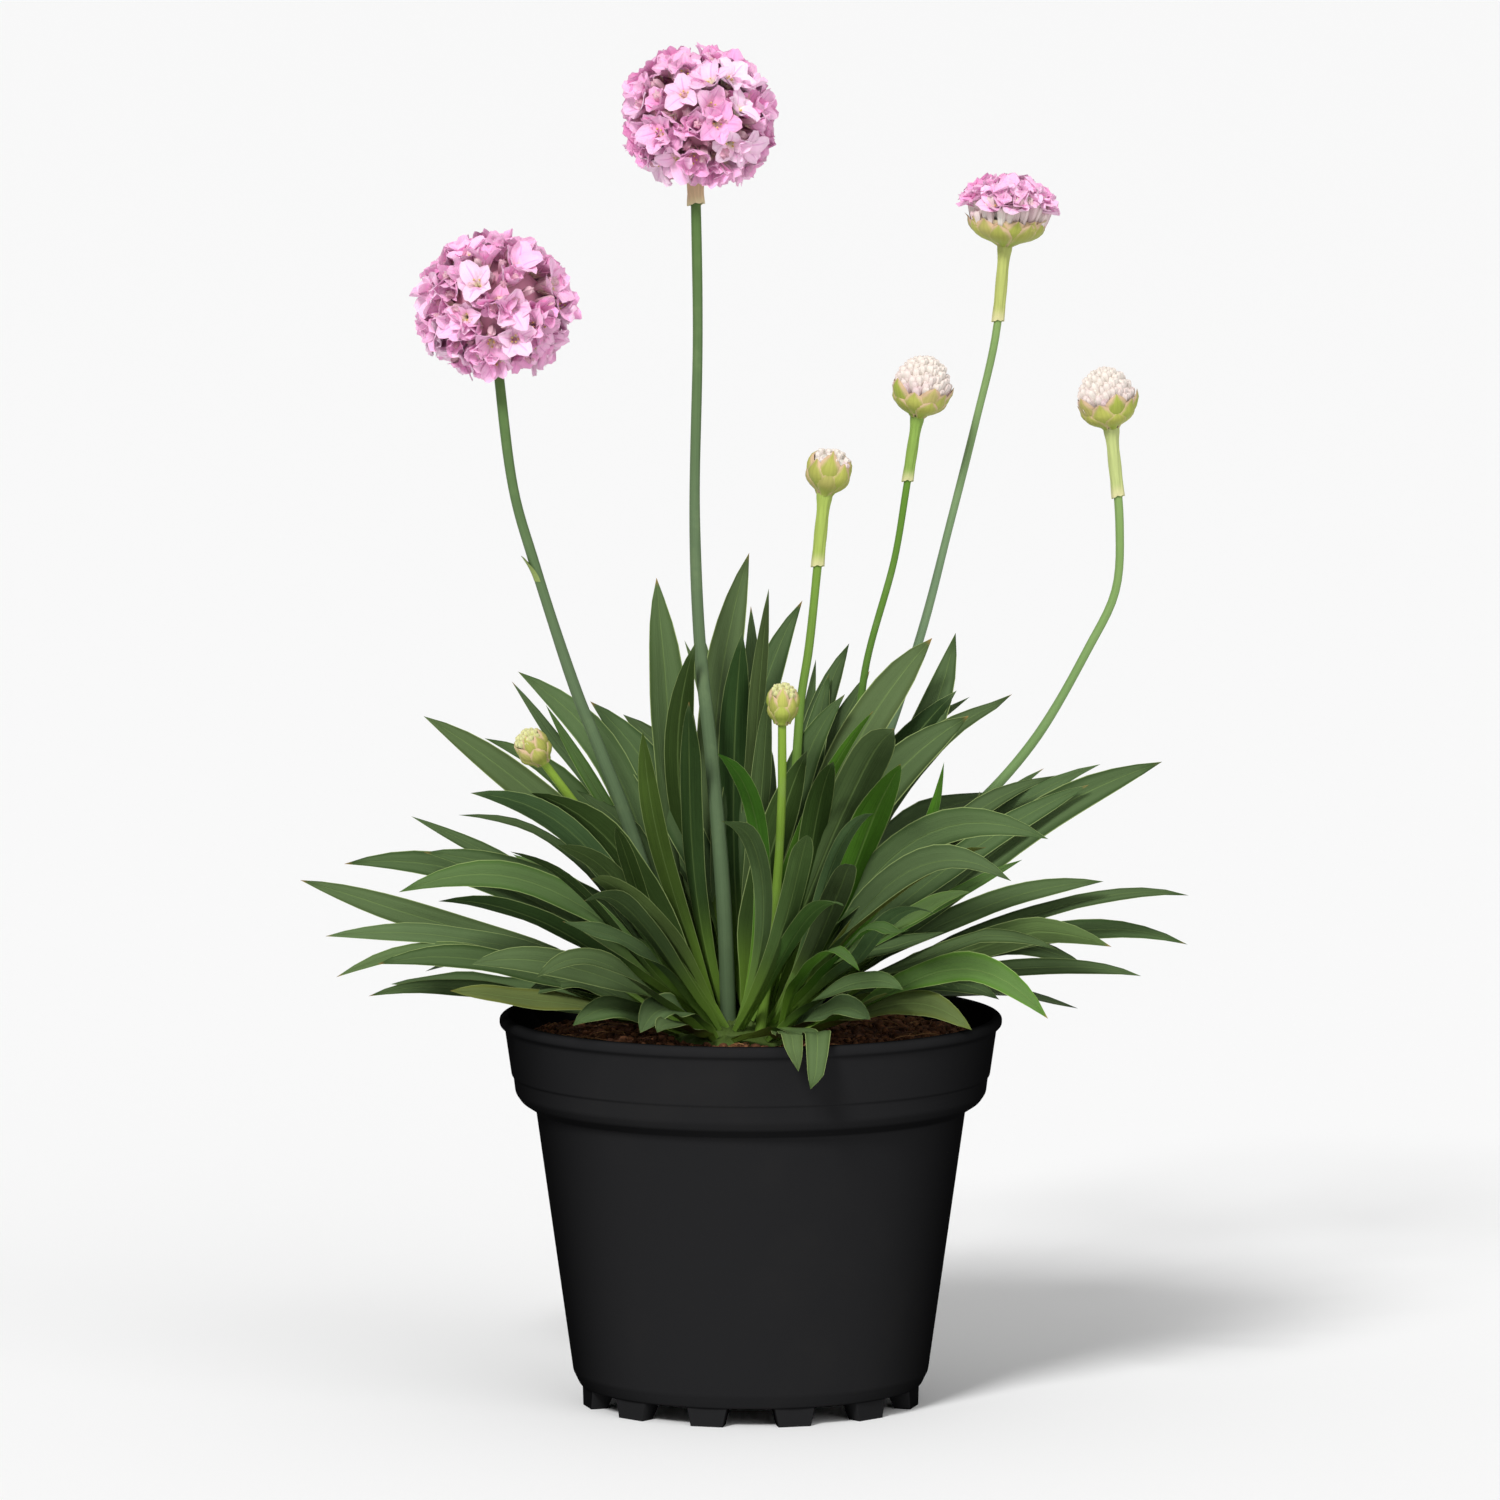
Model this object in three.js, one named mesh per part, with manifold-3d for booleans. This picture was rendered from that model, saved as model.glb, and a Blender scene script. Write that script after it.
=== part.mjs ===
// Potted false sea thrift: a black nursery pot of soil, a clump of strap leaves in three tiers, and
// eight flower stems whose heads run from tight bud to full bloom.
// Millimetres, +Z up. The origin is on the pot's axis, on the plane of its feet.

import * as THREE from "three";
import { mergeVertices } from "three/addons/utils/BufferGeometryUtils.js";
import Module from "manifold-3d";

const wasm = await Module();
wasm.setup();

// Clearance between pieces that touch
const GAP = 0.3;

// How far a cutting shape runs past the faces that it cuts
const OVERRUN = 1;

// Depths of the slivers that are smoothed away after joining, and the height in mm below which a
// triangle counts as one
const SLIVER_DEPTHS = [0.14, 0.12, 0.1, 0.08];
const SLIVER = 0.012;

// Pot: a moulded nursery pot with a rolled lip, a collar, a tapered wall and twelve feet
const LIP_RADIUS = 65;
const LIP_TOP = 101;
const WALL = 1.2;
const BASE_UNDERSIDE = 4.7;
const BASE_TOP = 6.2;
const POT_SIDES = 32;
const FOOT_COUNT = 12;
const FOOT_HALF_ANGLE = THREE.MathUtils.degToRad(7.25);
const FOOT_INNER_RADIUS = 37.5;
const FOOT_OUTER_RADIUS = 44;
const FOOT_TAPER = 0.78;
const FOOT_DRAFT = 2;
const DRAIN_COUNT = 4;
const DRAIN_RADIUS = 3;
const DRAIN_CIRCLE = 27;
const DRAIN_SIDES = 8;

// Soil: its top is highest round the crown and lowest at the pot's wall
const SOIL_SIDES = 24;
const SOIL_EDGE_LEVEL = 94;
const SOIL_CROWN_LEVEL = 95.2;
const SOIL_SWELL = 0.7;
const SOIL_WAVES = [[0.31, 0.17], [-0.22, 0.43]];
const SOIL_RADII = { crown: 20, rough: 22, edge: 60, wall: 61 };

// Crown: the leaves stand in three rings round one point, each ring in its own tier
const CROWN = new THREE.Vector3(-2, 0, 97);
const CROWN_FLOOR = 86;
const CROWN_SIDES = 24;
const LEAF_SINK = 1.6;
const FOOT_STAGGER = 1.4;
const TIERS = [
  { name: "lower_leaves", inner: 14.5, outer: 19.6, foot: 17, top: 97.6 },
  { name: "middle_leaves", inner: 8.8, outer: 14.2, foot: 11.5, top: 99.6 },
  { name: "heart_leaves", inner: 0, outer: 8.5, foot: 6.2, top: 101.6 },
];

// Surfaces of revolution that keep the tiers apart: the height over the lower tier's ring is
// base + rise * (1 - exp(-(radius - start) / reach)), between the first two tiers and the last two
const TIER_BOUNDS = [
  { start: 14.35, base: 0.7, rise: 50, reach: 62 },
  { start: 8.65, base: 0.7, rise: 110, reach: 46 },
];
const TIER_MARGIN = 0.9;
const STEM_MARGIN = 1;
const STEM_POINT_COUNT = 150;
const CHECK_STEPS = 12;
const RIM_CLEARANCE = 1.2;
const LIP_ZONE_START = 57;

// The lowest that a leaf may lie, over the pot's radius: on the soil, over the lip, then falling away
const LEAF_FLOOR = [[20, 96.6], [52, 95.6], [58, 102.2], [67, 102.2], [80, 78]];

// The eye that the places seen below are measured from, and the plane through the pot's axis that
// they lie on. A place nearer the eye, with a negative depth, is moved towards it along its sight line.
const EYE = new THREE.Vector3(-0.2, -3000, 500);

// The photograph: its middle in pixels, its scale in the plane, the eye's focal length in pixels and
// how far the eye looks down
const PHOTO = { x: 751, y: 750, scale: 0.258, focal: 11696, pitch: THREE.MathUtils.degToRad(6.283) };

// Leaves: tip across and down, middle across and down, all in pixels of the photograph, depth of the
// tip, width, and turn (how far the upper face turns to the eye, negative for the underside)
const LEAVES = [
  [424, 716, 590, 855, 0, 8.5, 0.8], [484, 741, 612, 862, 14, 8, 0.6], [519, 671, 620, 815, 0, 9, 0.8],
  [532, 671, 642, 820, 16, 7, 0.6], [511, 683, 602, 832, 24, 4.5, 0.5], [548, 705, 625, 850, -14, 4, 0.8],
  [590, 702, 672, 830, 6, 9.5, 0.8], [623, 714, 690, 842, 15, 9.5, 0.9],
  [470, 793, 597, 862, -42, 6.5, 0.9], [533, 800, 642, 900, -30, 8.5, 0.5],
  [455, 816, 590, 882, -12, 4.5, 0.4], [413, 812, 578, 915, 8, 4.5, 0.7],
  [424, 852, 583, 912, -4, 7.5, 0.8], [344, 866, 543, 915, 3, 7.5, 0.8], [400, 888, 571, 900, -40, 8, 0.7],
  [300, 880, 521, 942, -6, 7, 0.8], [325, 932, 533, 945, -14, 6, 0.6], [335, 977, 538, 962, -16, 5.5, 0.5],
  [378, 963, 560, 974, -40, 7, 0.7], [370, 1002, 556, 998, 4, 5, 0.6], [448, 993, 590, 1002, -34, 6.5, 0.6],
  [473, 963, 607, 972, -60, 7.5, 0.8], [537, 975, 640, 972, -76, 6.5, 0.6],
  [580, 898, 655, 935, -74, 5.5, -0.6], [598, 883, 665, 932, -66, 5.5, 0.8],
  [616, 830, 652, 922, -58, 4.5, 0.6], [643, 732, 662, 880, -34, 5.5, 0.9],
  [553, 840, 640, 920, -55, 6, 0.8], [510, 852, 612, 926, -45, 3, 0.5], [440, 905, 600, 950, -50, 6, -0.5],
  [573, 1024, 652, 1008, -34, 7, 0.6], [640, 1032, 690, 1002, -38, 9, 0.5],
  [657, 1038, 700, 1018, -44, 7, 0.4], [656, 578, 660, 800, 10, 10, -0.7],
  [707, 640, 683, 820, -16, 7.5, 0.8], [668, 642, 686, 800, 18, 5.5, 0.6],
  [684, 641, 706, 810, 12, 4.5, 0.5], [750, 552, 716, 770, 14, 9.5, 0.8], [701, 628, 716, 800, 22, 6, 0.5],
  [803, 600, 748, 770, 12, 8.5, 0.8], [767, 587, 757, 780, -4, 5, 0.4], [751, 606, 750, 790, 24, 5.5, 0.4],
  [743, 629, 720, 800, -6, 8, -0.8], [817, 660, 800, 812, 26, 4.5, 0.4], [829, 672, 805, 822, 18, 7, 0.7],
  [850, 645, 812, 812, 28, 8, 0.6], [867, 668, 822, 822, 22, 8, 0.6], [847, 694, 792, 830, -4, 9, 0.7],
  [873, 712, 815, 850, -20, 3.5, 0.8], [716, 749, 766, 852, -50, 5, 0.6],
  [716, 808, 766, 902, -60, 5, -0.5], [810, 750, 788, 870, -6, 8.5, -0.8],
  [833, 766, 790, 882, -46, 7, -0.7], [896, 742, 815, 860, -56, 10.5, 0.8],
  [900, 757, 850, 880, -50, 9.5, 0.7], [867, 822, 815, 902, -64, 4, -0.8],
  [808, 833, 792, 926, -80, 6, 0.9], [851, 873, 816, 930, -70, 7, -0.8],
  [844, 908, 797, 944, -74, 5.5, 0.5], [860, 972, 792, 956, -85, 5, 0.5],
  [911, 943, 836, 956, -76, 5.5, 0.6], [797, 1077, 766, 1024, -78, 6, 0.2],
  [812, 1083, 812, 1024, -77, 7, 0.2], [870, 1018, 806, 1012, -52, 7, 0.6],
  [972, 1027, 860, 1002, -40, 8, 0.5], [1049, 1018, 900, 970, -52, 8.5, 0.6],
  [931, 637, 840, 818, 2, 11, 0.9], [950, 630, 885, 818, 18, 9.5, 0.7], [956, 691, 860, 820, 12, 9.5, -0.8],
  [968, 715, 860, 850, -8, 11, 0.9], [1014, 698, 880, 850, 6, 8, 0.6], [1045, 770, 900, 880, 12, 4.5, 0.5],
  [1057, 776, 905, 890, 4, 7, 0.6], [1100, 768, 920, 880, 16, 5.5, 0.6], [1088, 783, 915, 892, -6, 7, 0.7],
  [1162, 760, 950, 892, -2, 9.5, 0.8], [1047, 838, 900, 856, -54, 9, 0.8],
  [986, 849, 875, 905, -50, 4.5, -0.7], [1014, 888, 885, 893, -62, 8.5, 0.8],
  [976, 895, 870, 940, -68, 5, 0.7], [937, 914, 850, 955, -72, 5.5, -0.6],
  [1104, 880, 930, 935, -10, 6.5, 0.7], [1188, 905, 970, 925, -4, 5.5, 0.5],
  [1184, 949, 965, 945, 10, 6, 0.6], [1112, 947, 935, 948, -34, 8, -0.7],
  [1142, 979, 945, 970, -14, 5.5, 0.5], [1060, 952, 905, 945, -48, 4.5, 0.7],
  [1018, 860, 900, 930, -44, 3.5, 0.8], [948, 768, 892, 890, -36, 3.5, 0.7],
  [1000, 1000, 880, 985, -10, 8, 0.5], [960, 985, 860, 982, -20, 7, 0.5],
  [1090, 966, 930, 962, 6, 6.5, 0.6], [905, 992, 830, 985, -50, 6.5, 0.5],
  [945, 962, 850, 962, -30, 7, 0.5], [520, 998, 620, 985, -20, 7, 0.5], [560, 940, 650, 955, -62, 6, 0.6],
  [690, 700, 700, 850, -30, 6, 0.6], [770, 690, 765, 840, -10, 5.5, 0.5], [590, 790, 650, 890, -20, 7, 0.6],
];
const MIDDLE_DEPTH_SHARE = 0.45;
const LEAF_DRAWS = { twist: 14, roll: 0.025, heel: 20 };

// Leaves of the far side, spread by the golden angle over the half turn that the eye doesn't see
const FAR_LEAF_COUNT = 28;
const FAR_SPREAD = { first: 12, last: 168, lowest: 3, highest: 70, crowding: 1.25 };
const FAR_LENGTH = { shortest: 84, longest: 108, reach: 87 };
const FAR_WIDTH = { least: 7, most: 11 };
const FAR_DRAWS = { twist: 35, roll: 0.025, heel: 24 };
const GOLDEN_SHARE = 0.61803399;
const HEIGHT_SHARE = 0.75487767;

// A leaf's line, outline and section
const LEAF_SKEW = 0.45;
const BLADE_FOOT_SHARE = 0.34;
const BLADE_WIDEST = 0.68;
const BLADE_TAPER = { slim: 2.4, wide: 3.2, from: 10.5 };
const BLADE_KEEL = 1.2;
const BLADE_STATIONS = [0, 0.3, 0.6, 0.85, 1];
const NUDGES = [0, 0.1, 0.2, 0.3, 0.4, -0.1, -0.2];
const TURN_SHARE = 0.6;
const EDGE_ON = 0.25;

// Stems: the foot's place round the crown, then places across, up and in depth, up to the head's seat
const STEM_SIDES = 6;
const STEM_STEPS = 9;
const STEM_TAPER = { from: 0.1, to: 0.75 };
const STEM_FOOT_LEVEL = 91;
const STEM_HOLE_SIDES = 8;
const HEAD_SEAT = 0.35;

// Heads: the stage of each, with its middle on the plane, its width and height, and the tilt of its
// axis from upright, to the right and towards the back, in degrees
const PLANTS = [
  {
    name: "first_bloom",
    stage: "bloom",
    foot: [-11.1, -2.8],
    path: [[-31, 149, -12], [-39, 170, -15], [-45, 185, -17], [-56, 219, -19], [-61, 237, -20]],
    low: 2,
    high: 1.3,
    head: { middle: [-66, 284.5, -20], width: 40, height: 35.6, tilt: [-2, -4] },
    sheath: 0,
  },
  {
    name: "tall_bloom",
    stage: "bloom",
    foot: [-3.4, -3.2],
    path: [[-7, 131, -8], [-10, 167, -8], [-13, 196, -8], [-14.4, 230, -7], [-13.6, 278, -5]],
    low: 2,
    high: 1.3,
    head: { middle: [-13.6, 332.5, -4], width: 40, height: 35.6, tilt: [4, -5] },
    sheath: 12,
  },
  {
    name: "opening_bloom",
    stage: "opening",
    foot: [8.4, 7.8],
    path: [[26, 150, 20], [33, 167, 23], [44, 200, 27], [51, 227, 28], [58, 255, 28], [63, 277, 28]],
    low: 1.5,
    high: 1,
    head: { middle: [66, 309, 28], width: 26, height: 17, tilt: [5, -3] },
    sheath: 20,
  },
  {
    name: "right_bud",
    stage: "bud",
    foot: [3, 3.2],
    path: [[17, 141, 8], [26, 167, 10], [30, 193, 11], [37, 219, 12], [40, 237, 12]],
    low: 1.3,
    high: 0.9,
    head: { middle: [44, 263.5, 12], width: 16, height: 14.5, tilt: [9, -2] },
    sheath: 17,
  },
  {
    name: "far_right_bud",
    stage: "bud",
    foot: [11.5, 1],
    path: [[38, 139, 12], [57, 154, 15], [73, 172, 16], [87, 196, 16], [94, 211, 16], [95, 228, 16]],
    low: 1.7,
    high: 1.1,
    head: { middle: [91.5, 260.5, 16], width: 16, height: 14.5, tilt: [-9, -2] },
    sheath: 18,
  },
  {
    name: "middle_bud",
    stage: "small",
    foot: [3.4, -3.4],
    path: [[7, 131, -2], [11, 157, 0], [13, 183, 1], [15, 196, 1], [17, 215, 1]],
    low: 1.4,
    high: 1.1,
    head: { middle: [20.2, 242, 1], width: 10.8, height: 11.2, tilt: [12, -3] },
    sheath: 19,
  },
  {
    name: "low_bud",
    stage: "small",
    foot: [3.6, -11],
    path: [[6.5, 131, -17], [8, 157, -22]],
    low: 1.4,
    high: 1.1,
    head: { middle: [8.3, 182, -24], width: 6.9, height: 9.6, tilt: [2, -3] },
    sheath: 0,
  },
  {
    name: "left_bud",
    stage: "small",
    foot: [-9.6, 6.4],
    path: [[-24, 125, -3], [-36, 144, -10], [-44, 154, -15]],
    low: 1.3,
    high: 1.1,
    head: { middle: [-56.3, 170.6, -22], width: 7.6, height: 9, tilt: [-34, -8] },
    sheath: 0,
  },
];

// Full heads: florets of five petals round a throat, on a core that is hollowed for the cup and stem
const FLORET_COUNT = 24;
const FLORET_RADIUS = 7.4;
const FLORET_NOTCH = 0.62;
const FLORET_FOLD = 0.9;
const FLORET_THROAT = 3.2;
const FLORET_ROOT = 7;
const FLORET_LOWEST = -0.86;
const BLOOM_CORE_SHARE = 0.37;
const BLOOM_SEAT_SHARE = 0.24;
const POCKET_ROOM = 1;
const POCKET_SIDES = 12;

// Heads that aren't open yet: calyces and, on the opening one, a crest of florets in a cup of bracts
const CUP_SIDES = 8;
const CUP_WALL = 0.9;
const CUP_FLOOR_SHARE = 0.25;
const SCALE_SHARE = 0.62;
const SCALE_LEAN = 0.3;
const SCALE_THICKNESS = 0.9;
const CALYX_SIDES = 4;
const CALYX_WIDTH_SHARE = 0.12;
const LOWEST_CALYX = 0.32;
const CREST_FLORETS = 7;
const STAGES = {
  bloom: { cupWidth: 0.33, cupHeight: 0.2, scales: 0, calyces: 0, length: 0 },
  opening: { cupWidth: 0.74, cupHeight: 0.4, scales: 7, calyces: 6, length: 2.8 },
  bud: { cupWidth: 0.82, cupHeight: 0.36, scales: 5, calyces: 12, length: 2.8 },
  small: { cupWidth: 0.96, cupHeight: 0.6, scales: 4, calyces: 4, length: 2 },
};

// Solids

// A closed geometry as a solid that can be joined and cut
function solidOf(geometry) {
  const bare = geometry.index ? geometry.toNonIndexed() : geometry.clone();
  bare.deleteAttribute("normal");
  bare.deleteAttribute("uv");
  const merged = mergeVertices(bare, 1e-4);
  return new wasm.Manifold(
    new wasm.Mesh({
      numProp: 3,
      vertProperties: Float32Array.from(merged.attributes.position.array),
      triVerts: Uint32Array.from(merged.index.array),
    }),
  );
}

// A solid's faces as a geometry
function geometryOf(solid) {
  const mesh = solid.getMesh();
  const geometry = new THREE.BufferGeometry();
  geometry.setAttribute("position", new THREE.BufferAttribute(mesh.vertProperties, 3));
  geometry.setIndex(new THREE.BufferAttribute(mesh.triVerts, 1));
  geometry.computeVertexNormals();
  return geometry;
}

// The largest body of a solid: cutting can leave loose scraps
function largestBody(solid) {
  return solid.decompose().reduce((best, body) => (body.volume() > best.volume() ? body : best));
}

// All solids of a list joined, in pairs
function joined(solids) {
  let round = solids;
  while (round.length > 1) {
    const next = [];
    for (let i = 0; i < round.length; i += 2) {
      next.push(i + 1 < round.length ? round[i].add(round[i + 1]) : round[i]);
    }
    round = next;
  }
  return round[0];
}

// Whether every edge of a solid has just two faces, also where edges lie at the same place
function edgesArePaired(solid) {
  const merged = mergeVertices(geometryOf(solid).deleteAttribute("normal"), 1e-3);
  const corners = merged.index.array;
  const uses = new Map();
  for (let i = 0; i < corners.length; i++) {
    const [a, b] = [corners[i], corners[i % 3 === 2 ? i - 2 : i + 1]];
    const edge = Math.min(a, b) + "-" + Math.max(a, b);
    uses.set(edge, (uses.get(edge) ?? 0) + 1);
  }
  return [...uses.values()].every((count) => count === 2);
}

// How many triangles of a solid are slivers: lower than a hair's breadth
function sliverCount(solid) {
  const geometry = geometryOf(solid);
  const places = geometry.attributes.position;
  const corners = geometry.index.array;
  const triangle = new THREE.Triangle();
  let count = 0;
  for (let i = 0; i < corners.length; i += 3) {
    triangle.setFromAttributeAndIndices(places, corners[i], corners[i + 1], corners[i + 2]);
    const longest = Math.max(
      triangle.a.distanceTo(triangle.b),
      triangle.b.distanceTo(triangle.c),
      triangle.c.distanceTo(triangle.a),
    );
    if ((2 * triangle.getArea()) / longest < SLIVER) count += 1;
  }
  return count;
}

// The solid of a list that has the fewest slivers, of those whose edges are all paired
function cleanest(solids) {
  const sound = solids.filter(edgesArePaired).map((solid) => [sliverCount(solid), solid]);
  return sound.reduce((best, one) => (one[0] < best[0] ? one : best), [Infinity, null])[1];
}

// A solid without the slivers that joining leaves on its nearly flat faces
function smoothed(solid) {
  const whole = solid.asOriginal();
  const once = (body, depth) => largestBody(solidOf(geometryOf(body.simplify(depth))));
  const tries = SLIVER_DEPTHS.flatMap((depth) => {
    const first = once(whole, depth);
    return [once(first.asOriginal(), depth), first];
  });
  return cleanest(tries) ?? largestBody(whole);
}

// Points and triangles as a closed geometry
function faceted(points, triangles) {
  const geometry = new THREE.BufferGeometry();
  const flat = points.flatMap((point) => [point.x, point.y, point.z]);
  geometry.setAttribute("position", new THREE.Float32BufferAttribute(flat, 3));
  geometry.setIndex(triangles.flat());
  return geometry;
}

// A profile of [radius, height] points turned round +Z
function turned(profile, sides) {
  const points = profile.map(([radius, height]) => new THREE.Vector2(radius, height));
  return new THREE.LatheGeometry(points, sides).rotateX(Math.PI / 2);
}

// An upright cylinder between two heights
function post(x, y, bottom, top, radius, sides) {
  const geometry = new THREE.CylinderGeometry(radius, radius, top - bottom, sides);
  return geometry.rotateX(Math.PI / 2).translate(x, y, (top + bottom) / 2);
}

// The turn that carries +Z to a direction, with a place to put it
function placedAlong(origin, axis) {
  const turn = new THREE.Quaternion().setFromUnitVectors(new THREE.Vector3(0, 0, 1), axis);
  return new THREE.Matrix4().compose(origin, turn, new THREE.Vector3(1, 1, 1));
}

// Across and up on the axis plane, from pixels of the photograph
function onPlane(x, y) {
  const down = Math.tan(PHOTO.pitch + Math.atan((y - PHOTO.y) / PHOTO.focal));
  return [(x - PHOTO.x) * PHOTO.scale, EYE.z + EYE.y * down];
}

// A place seen across and up on the axis plane, carried along its sight line to a depth
function seen([across, up, depth]) {
  const share = (depth - EYE.y) / -EYE.y;
  return new THREE.Vector3(
    EYE.x + (across - EYE.x) * share,
    depth,
    EYE.z + (up - EYE.z) * share,
  );
}

// The same run of draws every time: a 32-bit linear congruential generator
function draws(seed) {
  let state = seed >>> 0;
  return () => {
    state = (Math.imul(state, 1664525) + 1013904223) >>> 0;
    return state / 4294967296;
  };
}

const clamp = THREE.MathUtils.clamp;
const lerp = THREE.MathUtils.lerp;
const smoothstep = THREE.MathUtils.smoothstep;

// Pot

// The outline from the axis under the base, up the outside, over the lip and down the inside
const POT_PROFILE = [
  [0, BASE_UNDERSIDE],
  [44.3, BASE_UNDERSIDE],
  [46, 8],
  [55.6, 76.4],
  [59.8, 79],
  [60.9, 81],
  [61.4, 85],
  [61.9, 85.6],
  [63.6, 97.4],
  [LIP_RADIUS, 98.6],
  [LIP_RADIUS, 100.2],
  [64.2, LIP_TOP],
  [62.6, LIP_TOP],
  [60.6, 82.4],
  [54.4, 77.8],
  [44.8, BASE_TOP],
  [0, BASE_TOP],
];

// One foot: a block under the base ring whose ends and inner face slope in towards the ground
function footSolid(index) {
  const middle = -Math.PI / 2 + ((index + 0.5) * 2 * Math.PI) / FOOT_COUNT;
  const corners = (half, inner, outer, level) =>
    [[-half, inner], [-half, outer], [half, outer], [half, inner]].map(
      ([turn, radius]) =>
        new THREE.Vector3(
          radius * Math.cos(middle + turn),
          radius * Math.sin(middle + turn),
          level,
        ),
    );
  const top = BASE_UNDERSIDE + WALL / 2;
  const points = [
    ...corners(FOOT_HALF_ANGLE * FOOT_TAPER, FOOT_INNER_RADIUS + FOOT_DRAFT, FOOT_OUTER_RADIUS, 0),
    ...corners(FOOT_HALF_ANGLE, FOOT_INNER_RADIUS, FOOT_OUTER_RADIUS, top),
  ];
  return solidOf(
    faceted(points, [
      [0, 2, 1], [0, 3, 2], [4, 5, 6], [4, 6, 7],
      [0, 1, 5], [0, 5, 4], [1, 2, 6], [1, 6, 5],
      [2, 3, 7], [2, 7, 6], [3, 0, 4], [3, 4, 7],
    ]),
  );
}

function potSolid() {
  let pot = solidOf(turned(POT_PROFILE, POT_SIDES));
  for (let i = 0; i < FOOT_COUNT; i++) pot = pot.add(footSolid(i));
  for (let i = 0; i < DRAIN_COUNT; i++) {
    const turn = (i * 2 * Math.PI) / DRAIN_COUNT;
    const [x, y] = [DRAIN_CIRCLE * Math.cos(turn), DRAIN_CIRCLE * Math.sin(turn)];
    const drain = post(x, y, BASE_UNDERSIDE - OVERRUN, BASE_TOP + OVERRUN, DRAIN_RADIUS, DRAIN_SIDES);
    pot = pot.subtract(solidOf(drain));
  }
  return pot;
}

// Soil

// The height of the soil's top at a distance from the pot's axis
function soilLevel(radius) {
  const share = clamp((radius - SOIL_RADII.crown) / (SOIL_RADII.wall - SOIL_RADII.crown), 0, 1);
  return lerp(SOIL_CROWN_LEVEL, SOIL_EDGE_LEVEL, share);
}

function soilSolid() {
  const pit = TIERS[0].outer + GAP;
  const profile = [
    [0, BASE_TOP + GAP],
    [44.2, BASE_TOP + GAP],
    [54, 78.2],
    [60.1, 82.8],
    [61.5, SOIL_EDGE_LEVEL],
    [54, soilLevel(54)],
    [44, soilLevel(44)],
    [34, soilLevel(34)],
    [25, soilLevel(25)],
    [0, SOIL_CROWN_LEVEL],
  ];
  const geometry = turned(profile, SOIL_SIDES);
  const position = geometry.attributes.position;
  for (let i = 0; i < position.count; i++) {
    const [x, y, z] = [position.getX(i), position.getY(i), position.getZ(i)];
    const radius = Math.hypot(x, y);
    if (z < SOIL_EDGE_LEVEL - 1 || radius < SOIL_RADII.rough || radius > SOIL_RADII.edge) continue;
    const swell = SOIL_WAVES.reduce((sum, [ahead, aside]) => sum + Math.sin(x * ahead + y * aside), 0);
    position.setZ(i, z + (SOIL_SWELL * swell) / SOIL_WAVES.length);
  }
  const top = SOIL_CROWN_LEVEL + SOIL_SWELL + OVERRUN;
  const hole = post(CROWN.x, CROWN.y, CROWN_FLOOR - GAP, top, pit, CROWN_SIDES);
  return solidOf(geometry).subtract(solidOf(hole));
}

// Stems

// A stem's foot, its path, and the seat where its head stands, as one smooth curve
function stemCurve(plant) {
  const foot = new THREE.Vector3(CROWN.x + plant.foot[0], CROWN.y + plant.foot[1], STEM_FOOT_LEVEL);
  return new THREE.CatmullRomCurve3(
    [foot, ...plant.path.map(seen), stemTop(plant)],
    false,
    "centripetal",
  );
}

// The direction of a head's axis
function headAxis(plant) {
  const [right, back] = plant.head.tilt.map(THREE.MathUtils.degToRad);
  return new THREE.Vector3(Math.tan(right), Math.tan(back), 1).normalize();
}

// How far under the middle of its head a stem ends
function seatDrop(plant) {
  const { width, height } = plant.head;
  return plant.stage === "bloom" ? width * BLOOM_SEAT_SHARE : height / 2;
}

function stemTop(plant) {
  return seen(plant.head.middle).addScaledVector(headAxis(plant), -seatDrop(plant) - HEAD_SEAT);
}

// Points along a stem, with its radius there
function stemStations(plant, steps) {
  const curve = stemCurve(plant);
  const stations = [];
  for (let i = 0; i <= steps; i++) {
    const share = i / steps;
    const thinning = smoothstep(share, STEM_TAPER.from, STEM_TAPER.to);
    const radius = lerp(plant.low, plant.high, thinning);
    stations.push({ centre: curve.getPointAt(share), along: curve.getTangentAt(share), radius });
  }
  stations[steps].along = headAxis(plant);
  return stations;
}

// A ring of points round a station, in the plane across it
function ringAt({ centre, along }, radius, sides) {
  const depth = new THREE.Vector3(0, 1, 0);
  const up = depth.addScaledVector(along, -depth.dot(along)).normalize();
  const side = new THREE.Vector3().crossVectors(along, up);
  return Array.from({ length: sides }, (_, i) => {
    const turn = (2 * Math.PI * i) / sides;
    return centre
      .clone()
      .addScaledVector(side, radius * Math.cos(turn))
      .addScaledVector(up, radius * Math.sin(turn));
  });
}

// Faces between rings of the same count, from the first ring to the last
function wallFaces(rings, sides, inward) {
  const faces = [];
  for (let ring = 0; ring + 1 < rings.length; ring++) {
    for (let i = 0; i < sides; i++) {
      const [a, b] = [rings[ring] + i, rings[ring] + ((i + 1) % sides)];
      const [c, d] = [rings[ring + 1] + i, rings[ring + 1] + ((i + 1) % sides)];
      const pair = inward ? [[a, b, c], [b, d, c]] : [[a, c, b], [b, c, d]];
      faces.push(...pair);
    }
  }
  return faces;
}

// A closed tube through stations, thicker than their radius by an allowance
function tubeSolid(stations, allowance, sides) {
  const points = stations.flatMap((station) => ringAt(station, station.radius + allowance, sides));
  const starts = stations.map((_, i) => i * sides);
  const faces = wallFaces(starts, sides, false);
  const last = starts[starts.length - 1];
  for (let i = 1; i + 1 < sides; i++) {
    faces.push([0, i, i + 1], [last, last + i + 1, last + i]);
  }
  return solidOf(faceted(points, faces));
}

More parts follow.
